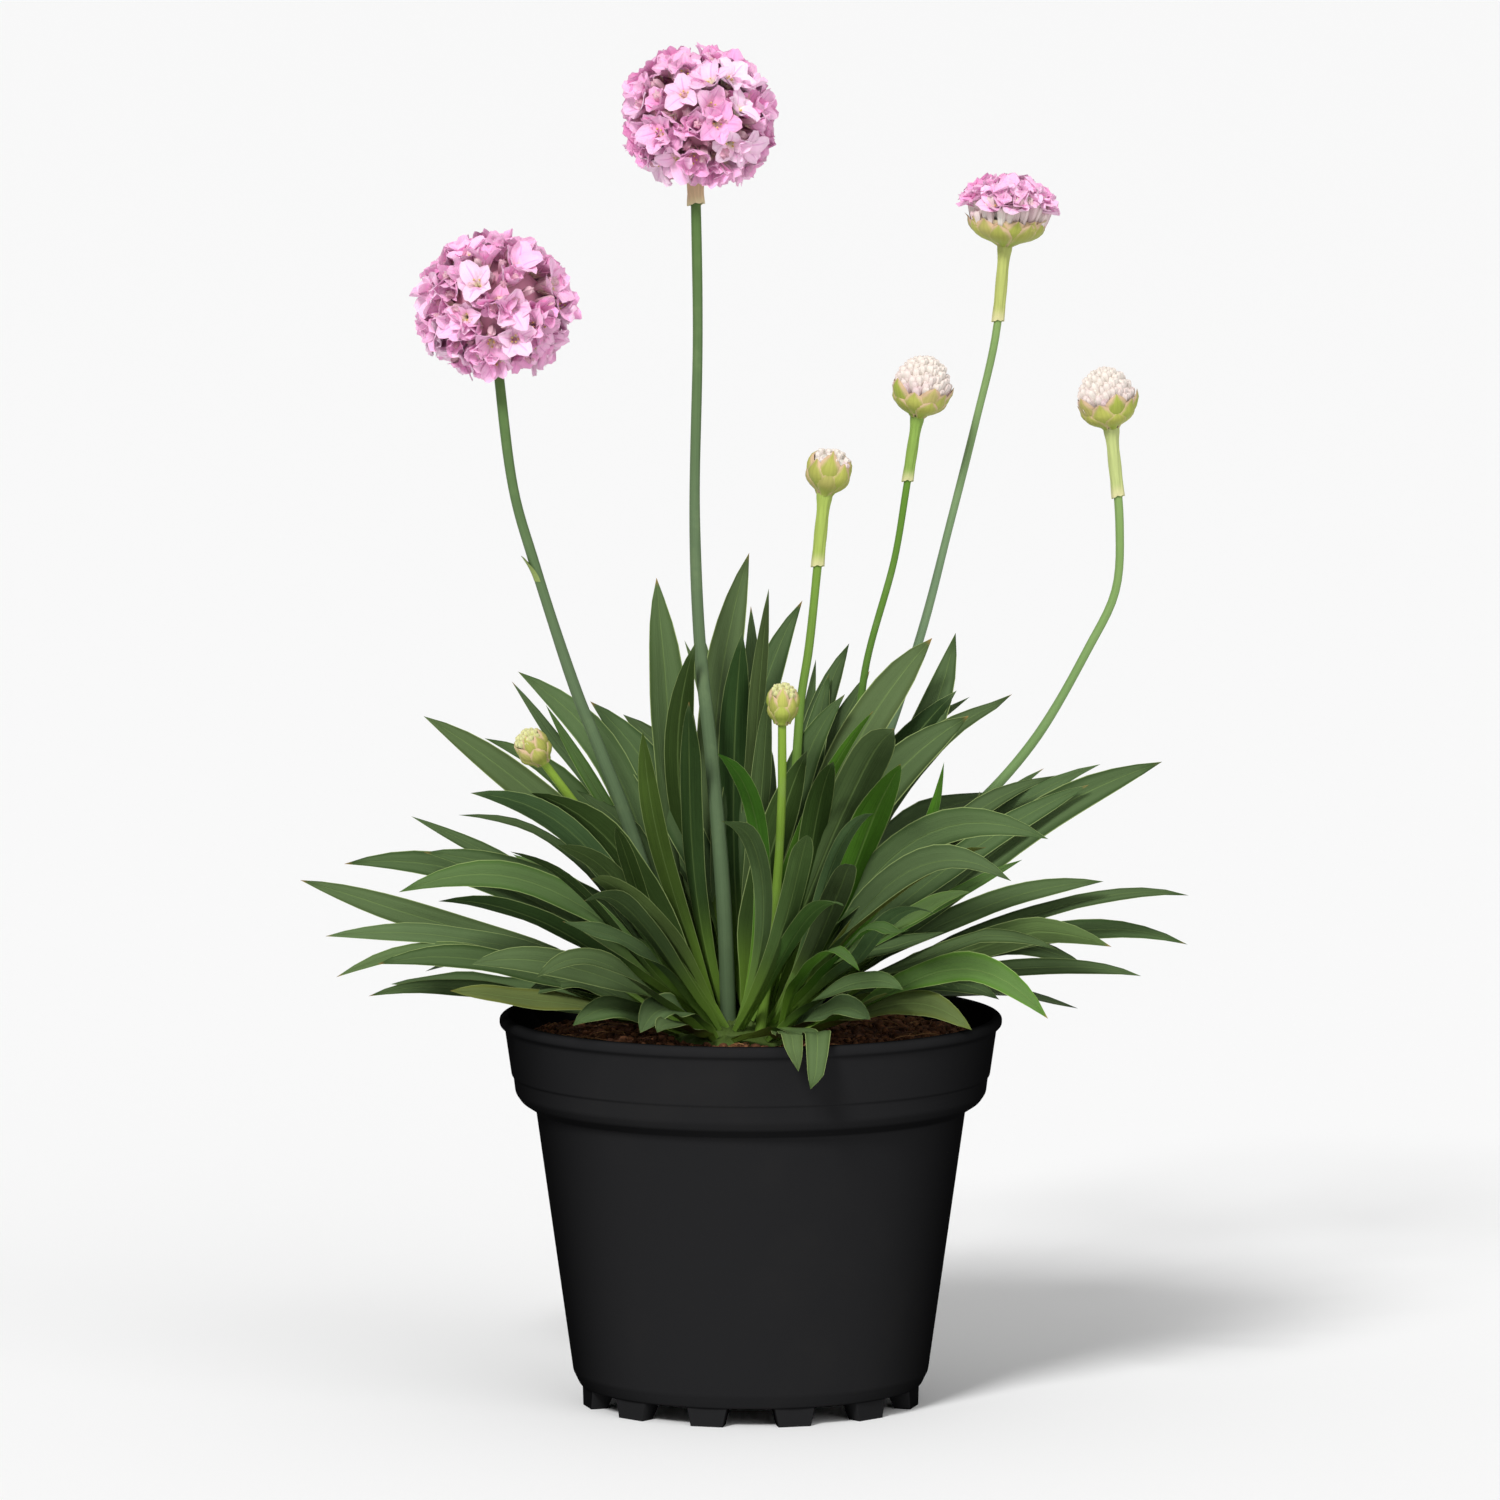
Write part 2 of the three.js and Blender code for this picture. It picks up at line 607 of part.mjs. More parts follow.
// A sheath: the papery tube that hangs from under the head round the top of its stem
const SHEATH_SIDES = 6;
const SHEATH_STEPS = 2;
const SHEATH_WALL = 0.7;

function sheathSolid(plant) {
  const curve = stemCurve(plant);
  const length = curve.getLength();
  const points = [];
  const starts = [];
  const widen = 1 / Math.cos(Math.PI / SHEATH_SIDES);
  const clear = HEAD_SEAT + 0.1;
  const shares = Array.from(
    { length: SHEATH_STEPS + 1 },
    (_, i) => 1 - (clear + (plant.sheath * (SHEATH_STEPS - i)) / SHEATH_STEPS) / length,
  );
  const inner = (plant.high + GAP + 0.1) * widen;
  const outer = inner + SHEATH_WALL;
  for (const radius of [outer, inner]) {
    for (const share of shares) {
      starts.push(points.length);
      const station = { centre: curve.getPointAt(share), along: curve.getTangentAt(share) };
      points.push(...ringAt(station, radius, SHEATH_SIDES));
    }
  }
  const count = SHEATH_STEPS + 1;
  const faces = [
    ...wallFaces(starts.slice(0, count), SHEATH_SIDES, false),
    ...wallFaces(starts.slice(count), SHEATH_SIDES, true),
    ...wallFaces([starts[0], starts[count]], SHEATH_SIDES, true),
    ...wallFaces([starts[count - 1], starts[2 * count - 1]], SHEATH_SIDES, false),
  ];
  return solidOf(faceted(points, faces));
}

// Leaves

// The upper limit of a lower tier, over the crown's radius
function boundLevel(index, radius) {
  const { start, base, rise, reach } = TIER_BOUNDS[index];
  const over = rise * (1 - Math.exp(-Math.max(0, radius - start) / reach));
  return TIERS[index].top + base + over;
}

// A place at a distance and an angle round the crown
function roundCrown(radius, azimuth, level) {
  return new THREE.Vector3(
    CROWN.x + radius * Math.cos(azimuth),
    CROWN.y + radius * Math.sin(azimuth),
    level,
  );
}

// A leaf's middle line: from its foot along the chord to its tip, humped upwards along the arch and
// sideways along the level, with a slight roll that makes it an S
class LeafLine extends THREE.Curve {
  constructor(foot, chord, level, leaf, sway) {
    super();
    const arch = new THREE.Vector3().crossVectors(chord, level);
    Object.assign(this, { foot, chord, level, arch, bow: leaf.bow, roll: leaf.roll, sway });
  }

  getPoint(share, target = new THREE.Vector3()) {
    const hump = 2 * share * (1 - share);
    const bow = hump * this.bow * (1 + LEAF_SKEW * (2 * share - 1));
    const roll = this.roll * Math.sin(2 * Math.PI * share);
    return target
      .copy(this.foot)
      .addScaledVector(this.chord, share)
      .addScaledVector(this.arch, bow + roll)
      .addScaledVector(this.level, hump * this.sway * this.chord.length());
  }
}

// A leaf's line from the tier's ring, with its foot and tip turned round the crown and its middle
// swayed aside by the shift's amounts
function spineOf(leaf, tier, shift) {
  const [ahead, aside] = [leaf.tip.x - CROWN.x, leaf.tip.y - CROWN.y];
  const azimuth = Math.atan2(aside, ahead) + shift.tip;
  const tangent = new THREE.Vector3(-Math.sin(azimuth), Math.cos(azimuth), 0);
  const ring = tier.foot + FOOT_STAGGER * leaf.row;
  const foot = roundCrown(ring, azimuth + leaf.heel + shift.foot, tier.top - LEAF_SINK);
  const tip = roundCrown(Math.hypot(ahead, aside), azimuth, leaf.tip.z);
  const curve = new LeafLine(foot, tip.sub(foot), tangent, leaf, leaf.sway + shift.sway);
  return { curve, tangent };
}

// The bow and sway that carry a leaf from a foot on the middle ring through a place to its tip
function bendThrough(tip, middle) {
  const azimuth = Math.atan2(tip.y - CROWN.y, tip.x - CROWN.x);
  const level = new THREE.Vector3(-Math.sin(azimuth), Math.cos(azimuth), 0);
  const foot = roundCrown(TIERS[1].foot, azimuth, TIERS[1].top - LEAF_SINK);
  const chord = tip.clone().sub(foot);
  const arch = new THREE.Vector3().crossVectors(chord, level);
  const off = middle.clone().sub(foot).addScaledVector(chord, -0.5);
  return { bow: (2 * off.dot(arch)) / arch.lengthSq(), sway: (2 * off.dot(level)) / chord.length() };
}

// The share of its full width that a leaf has at a share of its length
function bladeOutline(share, width) {
  const power = width >= BLADE_TAPER.from ? BLADE_TAPER.wide : BLADE_TAPER.slim;
  const swell = Math.sin((Math.PI / 2) * Math.min(1, share / BLADE_WIDEST));
  const taper = Math.max(0, (share - BLADE_WIDEST) / (1 - BLADE_WIDEST)) ** power;
  return lerp(BLADE_FOOT_SHARE, 1, swell) * (1 - taper);
}

// Cross sections of a leaf: middle, half width across, and the upper face's direction. The face that
// turns to the eye is the one that lies nearer to it, or on a leaf seen edge on the one that its turn says.
function bladeStations(leaf, tier, shift, shares) {
  const { curve, tangent } = spineOf(leaf, tier, shift);
  const middle = new THREE.Vector3().crossVectors(curve.getTangent(0.6), tangent);
  const lean = middle.dot(EYE.clone().sub(curve.getPoint(0.6)).normalize());
  const face = Math.sign(Math.abs(lean) > EDGE_ON ? lean : leaf.turn || 1);
  return shares.map((share) => {
    const centre = curve.getPoint(share);
    const along = curve.getTangent(share);
    const natural = new THREE.Vector3().crossVectors(along, tangent);
    const toEye = EYE.clone().sub(centre).normalize().multiplyScalar(face);
    const strength = Math.abs(leaf.turn) * smoothstep(share, 0, TURN_SHARE);
    const upper = natural.lerp(toEye, strength);
    upper.addScaledVector(along, -upper.dot(along)).normalize();
    upper.applyAxisAngle(along, leaf.twist * share);
    const across = new THREE.Vector3().crossVectors(upper, along);
    across.multiplyScalar((leaf.width / 2) * bladeOutline(share, leaf.width));
    return { centre, across, upper };
  });
}

// The corners of a leaf's section: left edge, right edge and the keel of the underside
function sectionCorners({ centre, across, upper }) {
  return [
    centre.clone().sub(across),
    centre.clone().add(across),
    centre.clone().addScaledVector(upper, -BLADE_KEEL),
  ];
}

// The lowest level of the list, by straight lines between its places
function floorLevel(radius) {
  const next = LEAF_FLOOR.findIndex(([place]) => place > radius);
  if (next === 0) return LEAF_FLOOR[0][1];
  const [[from, low], [to, high]] = [LEAF_FLOOR[next - 1], LEAF_FLOOR[next]];
  return lerp(low, high, (radius - from) / (to - from));
}

// Raises or lowers the sections so that the leaf stays in its tier, above the soil and over the lip
function settled(stations, tierIndex) {
  const crownRadius = (point) => Math.hypot(point.x - CROWN.x, point.y - CROWN.y);
  const potRadius = (point) => Math.hypot(point.x, point.y);
  stations.forEach((station, i) => {
    if (i === 0) return;
    const corners = sectionCorners(station);
    if (tierIndex < TIER_BOUNDS.length) {
      const level = (p) => boundLevel(tierIndex, crownRadius(p)) - TIER_MARGIN;
      const excess = corners.map((p) => p.z - level(p));
      station.centre.z -= Math.max(0, ...excess);
    }
    const floor = (p) => {
      if (tierIndex > 0) return boundLevel(tierIndex - 1, crownRadius(p)) + TIER_MARGIN;
      return potRadius(p) < LEAF_FLOOR[LEAF_FLOOR.length - 1][0] ? floorLevel(potRadius(p)) : 0;
    };
    const lack = sectionCorners(station).map((p) => floor(p) - p.z);
    station.centre.z += Math.max(0, ...lack);
  });
  for (let i = 1; i < stations.length; i++) {
    const [near, far] = [stations[i - 1], stations[i]];
    const [from, to] = [potRadius(near.centre), potRadius(far.centre)];
    if (from >= LIP_RADIUS || to < LIP_ZONE_START) continue;
    const share = clamp((LIP_RADIUS - 1 - from) / (to - from), 0, 1);
    const level = lerp(near.centre.z, far.centre.z, share);
    const lack = LIP_TOP + RIM_CLEARANCE + BLADE_KEEL / 2 - level;
    if (lack > 0) {
      near.centre.z += lack;
      far.centre.z += lack;
    }
  }
  return stations;
}

const NO_SHIFT = { foot: 0, tip: 0, sway: 0 };

// Ways to bend a leaf clear of the stems, from the slightest up: steps of its foot round the ring,
// of its middle to one side, and of its tip round the crown
const SHIFTS = {
  foot: { step: THREE.MathUtils.degToRad(11), most: 5, cost: 1 },
  sway: { step: 0.05, most: 3, cost: 1.5 },
  tip: { step: THREE.MathUtils.degToRad(3), most: 3, cost: 3 },
};

function shiftLadder() {
  const choices = ({ step, most, cost }) =>
    Array.from({ length: 2 * most + 1 }, (_, i) => {
      const steps = i - most;
      return { amount: steps * step, cost: Math.abs(steps) * cost };
    });
  const ladder = [];
  for (const foot of choices(SHIFTS.foot)) {
    for (const sway of choices(SHIFTS.sway)) {
      for (const tip of choices(SHIFTS.tip)) {
        const cost = foot.cost + sway.cost + tip.cost;
        ladder.push({ foot: foot.amount, sway: sway.amount, tip: tip.amount, cost });
      }
    }
  }
  return ladder.sort((a, b) => a.cost - b.cost);
}

const SHIFT_LADDER = shiftLadder();

// Points up the middle of every stem and of the head on it, close together, with their radii
const HEAD_POINT_COUNT = 8;
const STEM_POINTS = PLANTS.flatMap((plant) => [
  ...stemStations(plant, STEM_POINT_COUNT),
  ...Array.from({ length: HEAD_POINT_COUNT + 1 }, (_, i) => {
    const up = plant.head.height * (i / HEAD_POINT_COUNT - 0.5);
    const centre = seen(plant.head.middle).addScaledVector(headAxis(plant), up);
    return { centre, radius: plant.head.width / 2 + 0.6 };
  }),
]);

// The distance from a point to the line between two ends
function distanceToLine(point, from, to) {
  const line = to.clone().sub(from);
  const share = clamp(point.clone().sub(from).dot(line) / Math.max(1e-9, line.lengthSq()), 0, 1);
  return point.distanceTo(from.clone().addScaledVector(line, share));
}

// Whether a leaf passes every stem with room to spare
function clearOfStems(stations) {
  for (let i = 0; i + 1 < stations.length; i++) {
    const [near, far] = [stations[i], stations[i + 1]];
    for (let step = 0; step <= CHECK_STEPS; step++) {
      const share = step / CHECK_STEPS;
      const centre = near.centre.clone().lerp(far.centre, share);
      const across = near.across.clone().lerp(far.across, share);
      const left = centre.clone().sub(across);
      const right = centre.clone().add(across);
      const reach = across.length() + 4;
      for (const { centre: stem, radius } of STEM_POINTS) {
        if (stem.distanceToSquared(centre) > reach * reach) continue;
        if (distanceToLine(stem, left, right) < radius + STEM_MARGIN) return false;
      }
    }
  }
  return true;
}

// The tier whose bounds a leaf leaves least: by the mean height of its sections over each bound
function tierOf(leaf) {
  let index = 0;
  for (let i = 0; i < TIER_BOUNDS.length; i++) {
    const stations = bladeStations(leaf, TIERS[i + 1], NO_SHIFT, [0.4, 0.6, 0.8, 1]);
    const over = stations.map(({ centre }) => {
      const radius = Math.hypot(centre.x - CROWN.x, centre.y - CROWN.y);
      return centre.z - boundLevel(i, radius);
    });
    if (over.reduce((sum, value) => sum + value) > 0) index = i + 1;
  }
  return index;
}

// The first shift of the ladder that carries a leaf clear of the stems, or null
function clearShift(leaf, tierIndex) {
  const tier = TIERS[tierIndex];
  const fits = (shift) =>
    clearOfStems(settled(bladeStations(leaf, tier, shift, BLADE_STATIONS), tierIndex));
  return SHIFT_LADDER.find(fits) ?? null;
}

// A leaf as a closed blade: sections joined by strips that end in a point
function bladeSolid(stations) {
  const body = stations.slice(0, -1);
  const points = body.flatMap(sectionCorners);
  const tip = points.length;
  points.push(stations[stations.length - 1].centre);
  const faces = [[0, 1, 2]];
  for (let i = 0; i + 1 < body.length; i++) {
    const [a, b] = [3 * i, 3 * (i + 1)];
    for (let side = 0; side < 3; side++) {
      const next = (side + 1) % 3;
      faces.push([a + side, b + side, b + next], [a + side, b + next, a + next]);
    }
  }
  const last = 3 * (body.length - 1);
  for (let side = 0; side < 3; side++) faces.push([last + side, tip, last + ((side + 1) % 3)]);
  return solidOf(faceted(points, faces));
}

// The twist, roll and heel that a leaf draws, within the given limits
function leafDraws(draw, { twist, roll, heel }) {
  return {
    twist: THREE.MathUtils.degToRad(lerp(-twist, twist, draw())),
    roll: lerp(-roll, roll, draw()),
    heel: THREE.MathUtils.degToRad(lerp(-heel, heel, draw())),
  };
}

// The leaves that the eye sees, from the list
function nearLeaves() {
  const draw = draws(7);
  return LEAVES.map(([x, y, middleX, middleY, depth, width, turn], i) => {
    const tip = seen([...onPlane(x, y), depth]);
    const middle = seen([...onPlane(middleX, middleY), depth * MIDDLE_DEPTH_SHARE]);
    const row = (i % 3) - 1;
    return { tip, row, width, turn, ...bendThrough(tip, middle), ...leafDraws(draw, LEAF_DRAWS) };
  });
}

// The leaves of the far side
function farLeaves() {
  const draw = draws(23);
  return Array.from({ length: FAR_LEAF_COUNT }, (_, i) => {
    const azimuth = lerp(FAR_SPREAD.first, FAR_SPREAD.last, (i * GOLDEN_SHARE) % 1);
    const share = ((i * HEIGHT_SHARE) % 1) ** FAR_SPREAD.crowding;
    const height = lerp(FAR_SPREAD.lowest, FAR_SPREAD.highest, share);
    const [turn, rise] = [azimuth, height].map(THREE.MathUtils.degToRad);
    const length = lerp(FAR_LENGTH.shortest, FAR_LENGTH.longest, draw());
    const flat = Math.min(length * Math.cos(rise), FAR_LENGTH.reach / Math.max(0.3, Math.sin(turn)));
    return {
      tip: new THREE.Vector3(
        CROWN.x + flat * Math.cos(turn),
        CROWN.y + Math.min(flat * Math.sin(turn), FAR_LENGTH.reach),
        CROWN.z + length * Math.sin(rise),
      ),
      row: (i % 3) - 1,
      width: lerp(FAR_WIDTH.least, FAR_WIDTH.most, draw()),
      bow: lerp(0.08, 0.2, draw()),
      sway: lerp(-0.06, 0.06, draw()),
      turn: 0,
      ...leafDraws(draw, FAR_DRAWS),
    };
  });
}

// The ring or disc that the leaves of a tier grow from, with a plain hole for each stem that stands in it
function crownSolid(tier) {
  const profile = [
    [tier.inner, CROWN_FLOOR],
    [tier.outer, CROWN_FLOOR],
    [tier.outer, tier.top - 1],
    [tier.outer - 1, tier.top],
    [tier.inner + (tier.inner ? 0.6 : 0), tier.top],
  ];
  if (tier.inner) profile.push([tier.inner, tier.top - 0.6], [tier.inner, CROWN_FLOOR]);
  return solidOf(turned(profile, CROWN_SIDES).translate(CROWN.x, CROWN.y, 0));
}

// A plain hole that a stem's foot stands in, from under the foot up past the tops of the rings
function footHole(plant) {
  const stations = stemStations(plant, STEM_STEPS)
    .slice(0, 2)
    .map((station) => ({ ...station, centre: station.centre.clone() }));
  stations[0].centre.z -= GAP;
  return tubeSolid(stations, GAP + 0.2, STEM_HOLE_SIDES);
}

// A tier with one more leaf joined to it, a hair higher or lower where edges would otherwise meet
function withLeaf(tierSolid, stations) {
  const tries = NUDGES.map((nudge) => {
    const moved = stations.map((station) => ({
      ...station,
      centre: station.centre.clone().setZ(station.centre.z + nudge),
    }));
    return tierSolid.add(bladeSolid(moved));
  });
  return cleanest(tries) ?? tierSolid;
}

function leafTierSolids() {
  const tiers = TIERS.map(crownSolid);
  for (const leaf of [...nearLeaves(), ...farLeaves()]) {
    const tierIndex = tierOf(leaf);
    const shift = clearShift(leaf, tierIndex);
    if (shift === null) continue;
    const stations = bladeStations(leaf, TIERS[tierIndex], shift, BLADE_STATIONS);
    tiers[tierIndex] = withLeaf(tiers[tierIndex], settled(stations, tierIndex));
  }
  const holes = joined(PLANTS.map(footHole));
  return tiers.map((solid) => smoothed(largestBody(solid.subtract(holes))));
}

// Heads

// The cup's size, from the head's
function cupSize(plant) {
  const stage = STAGES[plant.stage];
  return {
    radius: (plant.head.width * stage.cupWidth) / 2,
    height: plant.head.height * stage.cupHeight,
    foot: plant.high + 0.5,
    ...stage,
  };
}

// The outer profile of a cup: from its narrow foot it swells as a quarter ellipse to its rim
function cupRadius({ radius, foot }, share) {
  return foot + (radius - foot) * Math.sin((Math.PI / 2) * share) ** 0.7;
}

// A cup of bracts: a thin bowl with a row of pointed scales pressed to its outside
function cupSolid(plant) {
  const size = cupSize(plant);
  const outside = [0, CUP_FLOOR_SHARE, SCALE_SHARE, 1];
  const inside = [1, SCALE_SHARE];
  const profile = [
    [0, 0],
    ...outside.map((share) => [cupRadius(size, share), size.height * share]),
    ...inside.map((share) => [cupRadius(size, share) - CUP_WALL, size.height * share]),
    [0, size.height * CUP_FLOOR_SHARE + CUP_WALL],
  ];
  const solids = [solidOf(turned(profile, CUP_SIDES))];
  for (let i = 0; i < size.scales; i++) {
    const scale = new THREE.OctahedronGeometry(1);
    const wide = (cupRadius(size, SCALE_SHARE) * Math.PI * 0.9) / size.scales;
    scale.scale(SCALE_THICKNESS, wide, size.height / 2);
    scale.rotateY(SCALE_LEAN);
    scale.translate(cupRadius(size, SCALE_SHARE), 0, size.height * SCALE_SHARE);
    scale.rotateZ((2 * Math.PI * i) / size.scales);
    solids.push(solidOf(scale));
  }
  const base = seen(plant.head.middle).addScaledVector(headAxis(plant), -seatDrop(plant));
  const matrix = placedAlong(base, headAxis(plant));
  return solidOf(geometryOf(smoothed(largestBody(joined(solids)))).applyMatrix4(matrix));
}

// Directions spread evenly over a ball, from its top down to a lowest height
function spreadDirections(count, lowest) {
  return Array.from({ length: count }, (_, i) => {
    const height = lerp(1, lowest, (i + 0.5) / count);
    const turn = 2 * Math.PI * GOLDEN_SHARE * i;
    const flat = Math.sqrt(1 - height * height);
    return new THREE.Vector3(flat * Math.cos(turn), flat * Math.sin(turn), height);
  });
}

// One floret: a five-petalled funnel. Its rim runs out to each petal's tip and in to each notch.
function floretSolid(direction, centre, outward, radius, spin) {
  const points = [];
  for (let i = 0; i < 10; i++) {
    const turn = spin + (i * Math.PI) / 5;
    const tip = i % 2 === 0;
    const reach = radius * (tip ? 1 : FLORET_NOTCH);
    const level = tip ? 0 : -FLORET_FOLD;
    points.push(new THREE.Vector3(reach * Math.cos(turn), reach * Math.sin(turn), level));
  }
  points.push(new THREE.Vector3(0, 0, -FLORET_THROAT), new THREE.Vector3(0, 0, -FLORET_ROOT));
  const faces = [];
  for (let i = 0; i < 10; i++) {
    const next = (i + 1) % 10;
    faces.push([i, next, 10], [next, i, 11]);
  }
  const place = centre.clone().addScaledVector(direction, outward);
  return solidOf(faceted(points, faces).applyMatrix4(placedAlong(place, direction)));
}

// One calyx: a slim cone that stands out of the head
function calyxSolid(direction, centre, outward, radius, length) {
  const cone = new THREE.ConeGeometry(radius, length, CALYX_SIDES).rotateX(Math.PI / 2);
  const place = centre.clone().addScaledVector(direction, outward);
  return solidOf(cone.applyMatrix4(placedAlong(place, direction)));
}

// A full head: a ball of florets on a core that is hollowed underneath for the cup and the stem
function bloomSolid(plant, seed) {
  const draw = draws(seed);
  const { width, height } = plant.head;
  const centre = new THREE.Vector3(0, 0, seatDrop(plant));
  const core = new THREE.IcosahedronGeometry(width * BLOOM_CORE_SHARE, 1);
  core.scale(1, 1, height / width).translate(0, 0, centre.z);
  const florets = spreadDirections(FLORET_COUNT, FLORET_LOWEST).map((direction) => {
    const outward = (width / 2 - OVERRUN) * lerp(0.93, 1.02, draw());
    const radius = FLORET_RADIUS * lerp(0.88, 1.06, draw());
    const level = centre.clone().setZ(centre.z + direction.z * outward * (height / width - 1));
    return floretSolid(direction, level, outward, radius, draw() * Math.PI);
  });
  const size = cupSize(plant);
  const room = size.radius + POCKET_ROOM;
  const pocket = post(0, 0, -width, size.height + GAP, room, POCKET_SIDES);
  const whole = joined([solidOf(core), ...florets]);
  return smoothed(largestBody(whole.subtract(solidOf(pocket))));
}

// A head that isn't open yet: a ball seated in its cup, with the tips of its calyces standing out,
// and on an opening head a crest of florets
function budSolid(plant, seed) {
  const draw = draws(seed);
  const { width, height } = plant.head;
  const size = cupSize(plant);
  const rim = size.height;
  const inner = size.radius - CUP_WALL - 1.5 * GAP;
  const floor = size.height * CUP_FLOOR_SHARE + CUP_WALL + GAP;
  const opening = plant.stage === "opening";
  const crest = opening ? height * 0.78 : height - OVERRUN;
  const wide = plant.stage === "bud" ? width / 2 - 1.2 : size.radius - GAP;
  const profile = [
    [0, floor],
    [inner * 0.7, lerp(floor, rim, 0.42)],
    [inner, rim + 2 * GAP],
    [wide, lerp(rim, crest, 0.35)],
    [wide * 0.7, lerp(rim, crest, 0.82)],
    [0, crest],
  ];
  const solids = [solidOf(turned(profile, CUP_SIDES))];
  const centre = new THREE.Vector3(0, 0, rim);
  const dome = new THREE.Vector3(wide, wide, crest - rim);
  for (const direction of spreadDirections(size.calyces, LOWEST_CALYX)) {
    const outward = direction.clone().multiply(dome).length() - GAP;
    const length = size.length * lerp(0.86, 1.14, draw());
    solids.push(calyxSolid(direction, centre, outward, width * CALYX_WIDTH_SHARE, length));
  }
  for (const direction of spreadDirections(opening ? CREST_FLORETS : 0, LOWEST_CALYX)) {
    const outward = direction.clone().multiply(dome).length() + lerp(1.6, 2.8, draw());
    const radius = lerp(3.6, 4.8, draw());
    solids.push(floretSolid(direction, centre, outward, radius, draw() * Math.PI));
  }
  return smoothed(largestBody(joined(solids)));
}

function headSolid(plant, seed) {
  const local = plant.stage === "bloom" ? bloomSolid(plant, seed) : budSolid(plant, seed);
  const base = seen(plant.head.middle).addScaledVector(headAxis(plant), -seatDrop(plant));
  return solidOf(geometryOf(local).applyMatrix4(placedAlong(base, headAxis(plant))));
}

// Colours and finishes
const LOOKS = {
  pot: { color: 0x1d1e20, roughness: 0.5, metalness: 0 },
  soil: { color: 0x3a2018, roughness: 1, metalness: 0 },
  lower_leaves: { color: 0x4d6b46, roughness: 0.6, metalness: 0 },
  middle_leaves: { color: 0x48683c, roughness: 0.6, metalness: 0 },
  heart_leaves: { color: 0x5a7d4a, roughness: 0.6, metalness: 0 },
  stem: { color: 0x6c8a55, roughness: 0.6, metalness: 0 },
  sheath: { color: 0xb7bf76, roughness: 0.7, metalness: 0 },
  cup: { color: 0x9fb044, roughness: 0.6, metalness: 0 },
  bloom: { color: 0xe2a4d6, roughness: 0.7, metalness: 0 },
  opening: { color: 0xdc9ed6, roughness: 0.7, metalness: 0 },
  bud: { color: 0xe9ddda, roughness: 0.7, metalness: 0 },
  small: { color: 0xd3d99a, roughness: 0.7, metalness: 0 },
};

const group = new THREE.Group();

function place(name, solid, look) {
  const mesh = new THREE.Mesh(geometryOf(solid), new THREE.MeshStandardMaterial(LOOKS[look]));
  mesh.name = name;
  group.add(mesh);
}

place("pot", potSolid(), "pot");
place("soil", soilSolid(), "soil");
leafTierSolids().forEach((solid, i) => place(TIERS[i].name, solid, TIERS[i].name));
PLANTS.forEach((plant, i) => {
  place(plant.name + "_stem", tubeSolid(stemStations(plant, STEM_STEPS), 0, STEM_SIDES), "stem");
  if (plant.sheath) place(plant.name + "_sheath", sheathSolid(plant), "sheath");
  place(plant.name + "_bracts", cupSolid(plant), "cup");
  place(plant.name + "_florets", headSolid(plant, 40 + i), plant.stage);
});

export default group;
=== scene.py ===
"""Looks of a potted false sea thrift: pot, soil, strap leaves, flower stems, sheaths, bracts and heads.

Sizes are in millimetres in the pot's frame, with +Z up, and become metres when a mesh is made.
"""

import logging
import math
from dataclasses import dataclass, field
from enum import Enum
from typing import Any

import bmesh
import bpy
import numpy as np
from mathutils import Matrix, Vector
from numpy.typing import NDArray


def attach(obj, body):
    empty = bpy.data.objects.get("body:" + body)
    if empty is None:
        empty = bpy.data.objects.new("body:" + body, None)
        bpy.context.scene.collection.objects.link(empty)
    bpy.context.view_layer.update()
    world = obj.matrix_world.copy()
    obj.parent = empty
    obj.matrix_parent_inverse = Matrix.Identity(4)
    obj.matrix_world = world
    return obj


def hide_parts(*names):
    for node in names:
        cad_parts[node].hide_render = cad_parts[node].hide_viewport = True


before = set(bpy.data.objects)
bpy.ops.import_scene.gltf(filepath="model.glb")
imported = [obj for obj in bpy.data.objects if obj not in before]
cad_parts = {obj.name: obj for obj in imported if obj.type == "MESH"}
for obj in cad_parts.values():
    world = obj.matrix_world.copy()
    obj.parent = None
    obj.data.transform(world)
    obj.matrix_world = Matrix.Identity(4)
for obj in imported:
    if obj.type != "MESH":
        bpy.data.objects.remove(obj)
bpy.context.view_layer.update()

Array = NDArray[np.float64]
Colour = tuple[float, float, float]
MM = 0.001
TAU = 2 * math.pi
GOLDEN = 0.61803399
PLASTIC = 0.75487767
log = logging.getLogger("thrift")


class Slot(Enum):
    """Material slots of the record."""

    POT = "pot_plastic"
    SOIL = "soil"
    LEAF = "leaf"
    STEM = "stem"
    SHEATH = "sheath"
    BRACT = "bract"
    PETAL = "petal"
    CALYX = "calyx"


class Stage(Enum):
    """How far a head has opened."""

    BLOOM = "bloom"
    OPENING = "opening"
    BUD = "bud"
    SMALL = "small"


def paint(code: str) -> Colour:
    """Turns a screen colour such as #4d6b46 into linear light, channel by channel.

    Args:
        code: Six hexadecimal digits after a hash.

    Returns:
        Red, green and blue from 0 to 1.
    """
    parts = [int(code[i : i + 2], 16) / 255 for i in (1, 3, 5)]
    return tuple(p / 12.92 if p <= 0.04045 else ((p + 0.055) / 1.055) ** 2.4 for p in parts)


def lerp(low: Any, high: Any, share: Any) -> Any:
    """Straight blend: low at share 0, high at share 1."""
    return low + (high - low) * share


def blend(first: str, second: str, share: Any) -> Array:
    """Linear colours between two screen colours."""
    return lerp(np.array(paint(first)), np.array(paint(second)), share)


def polar(radius: Any, angle: Any, height: Any) -> Array:
    """Points about the +Z axis: (r cos a, r sin a, h)."""
    return np.stack(np.broadcast_arrays(radius * np.cos(angle), radius * np.sin(angle), height), axis=-1)


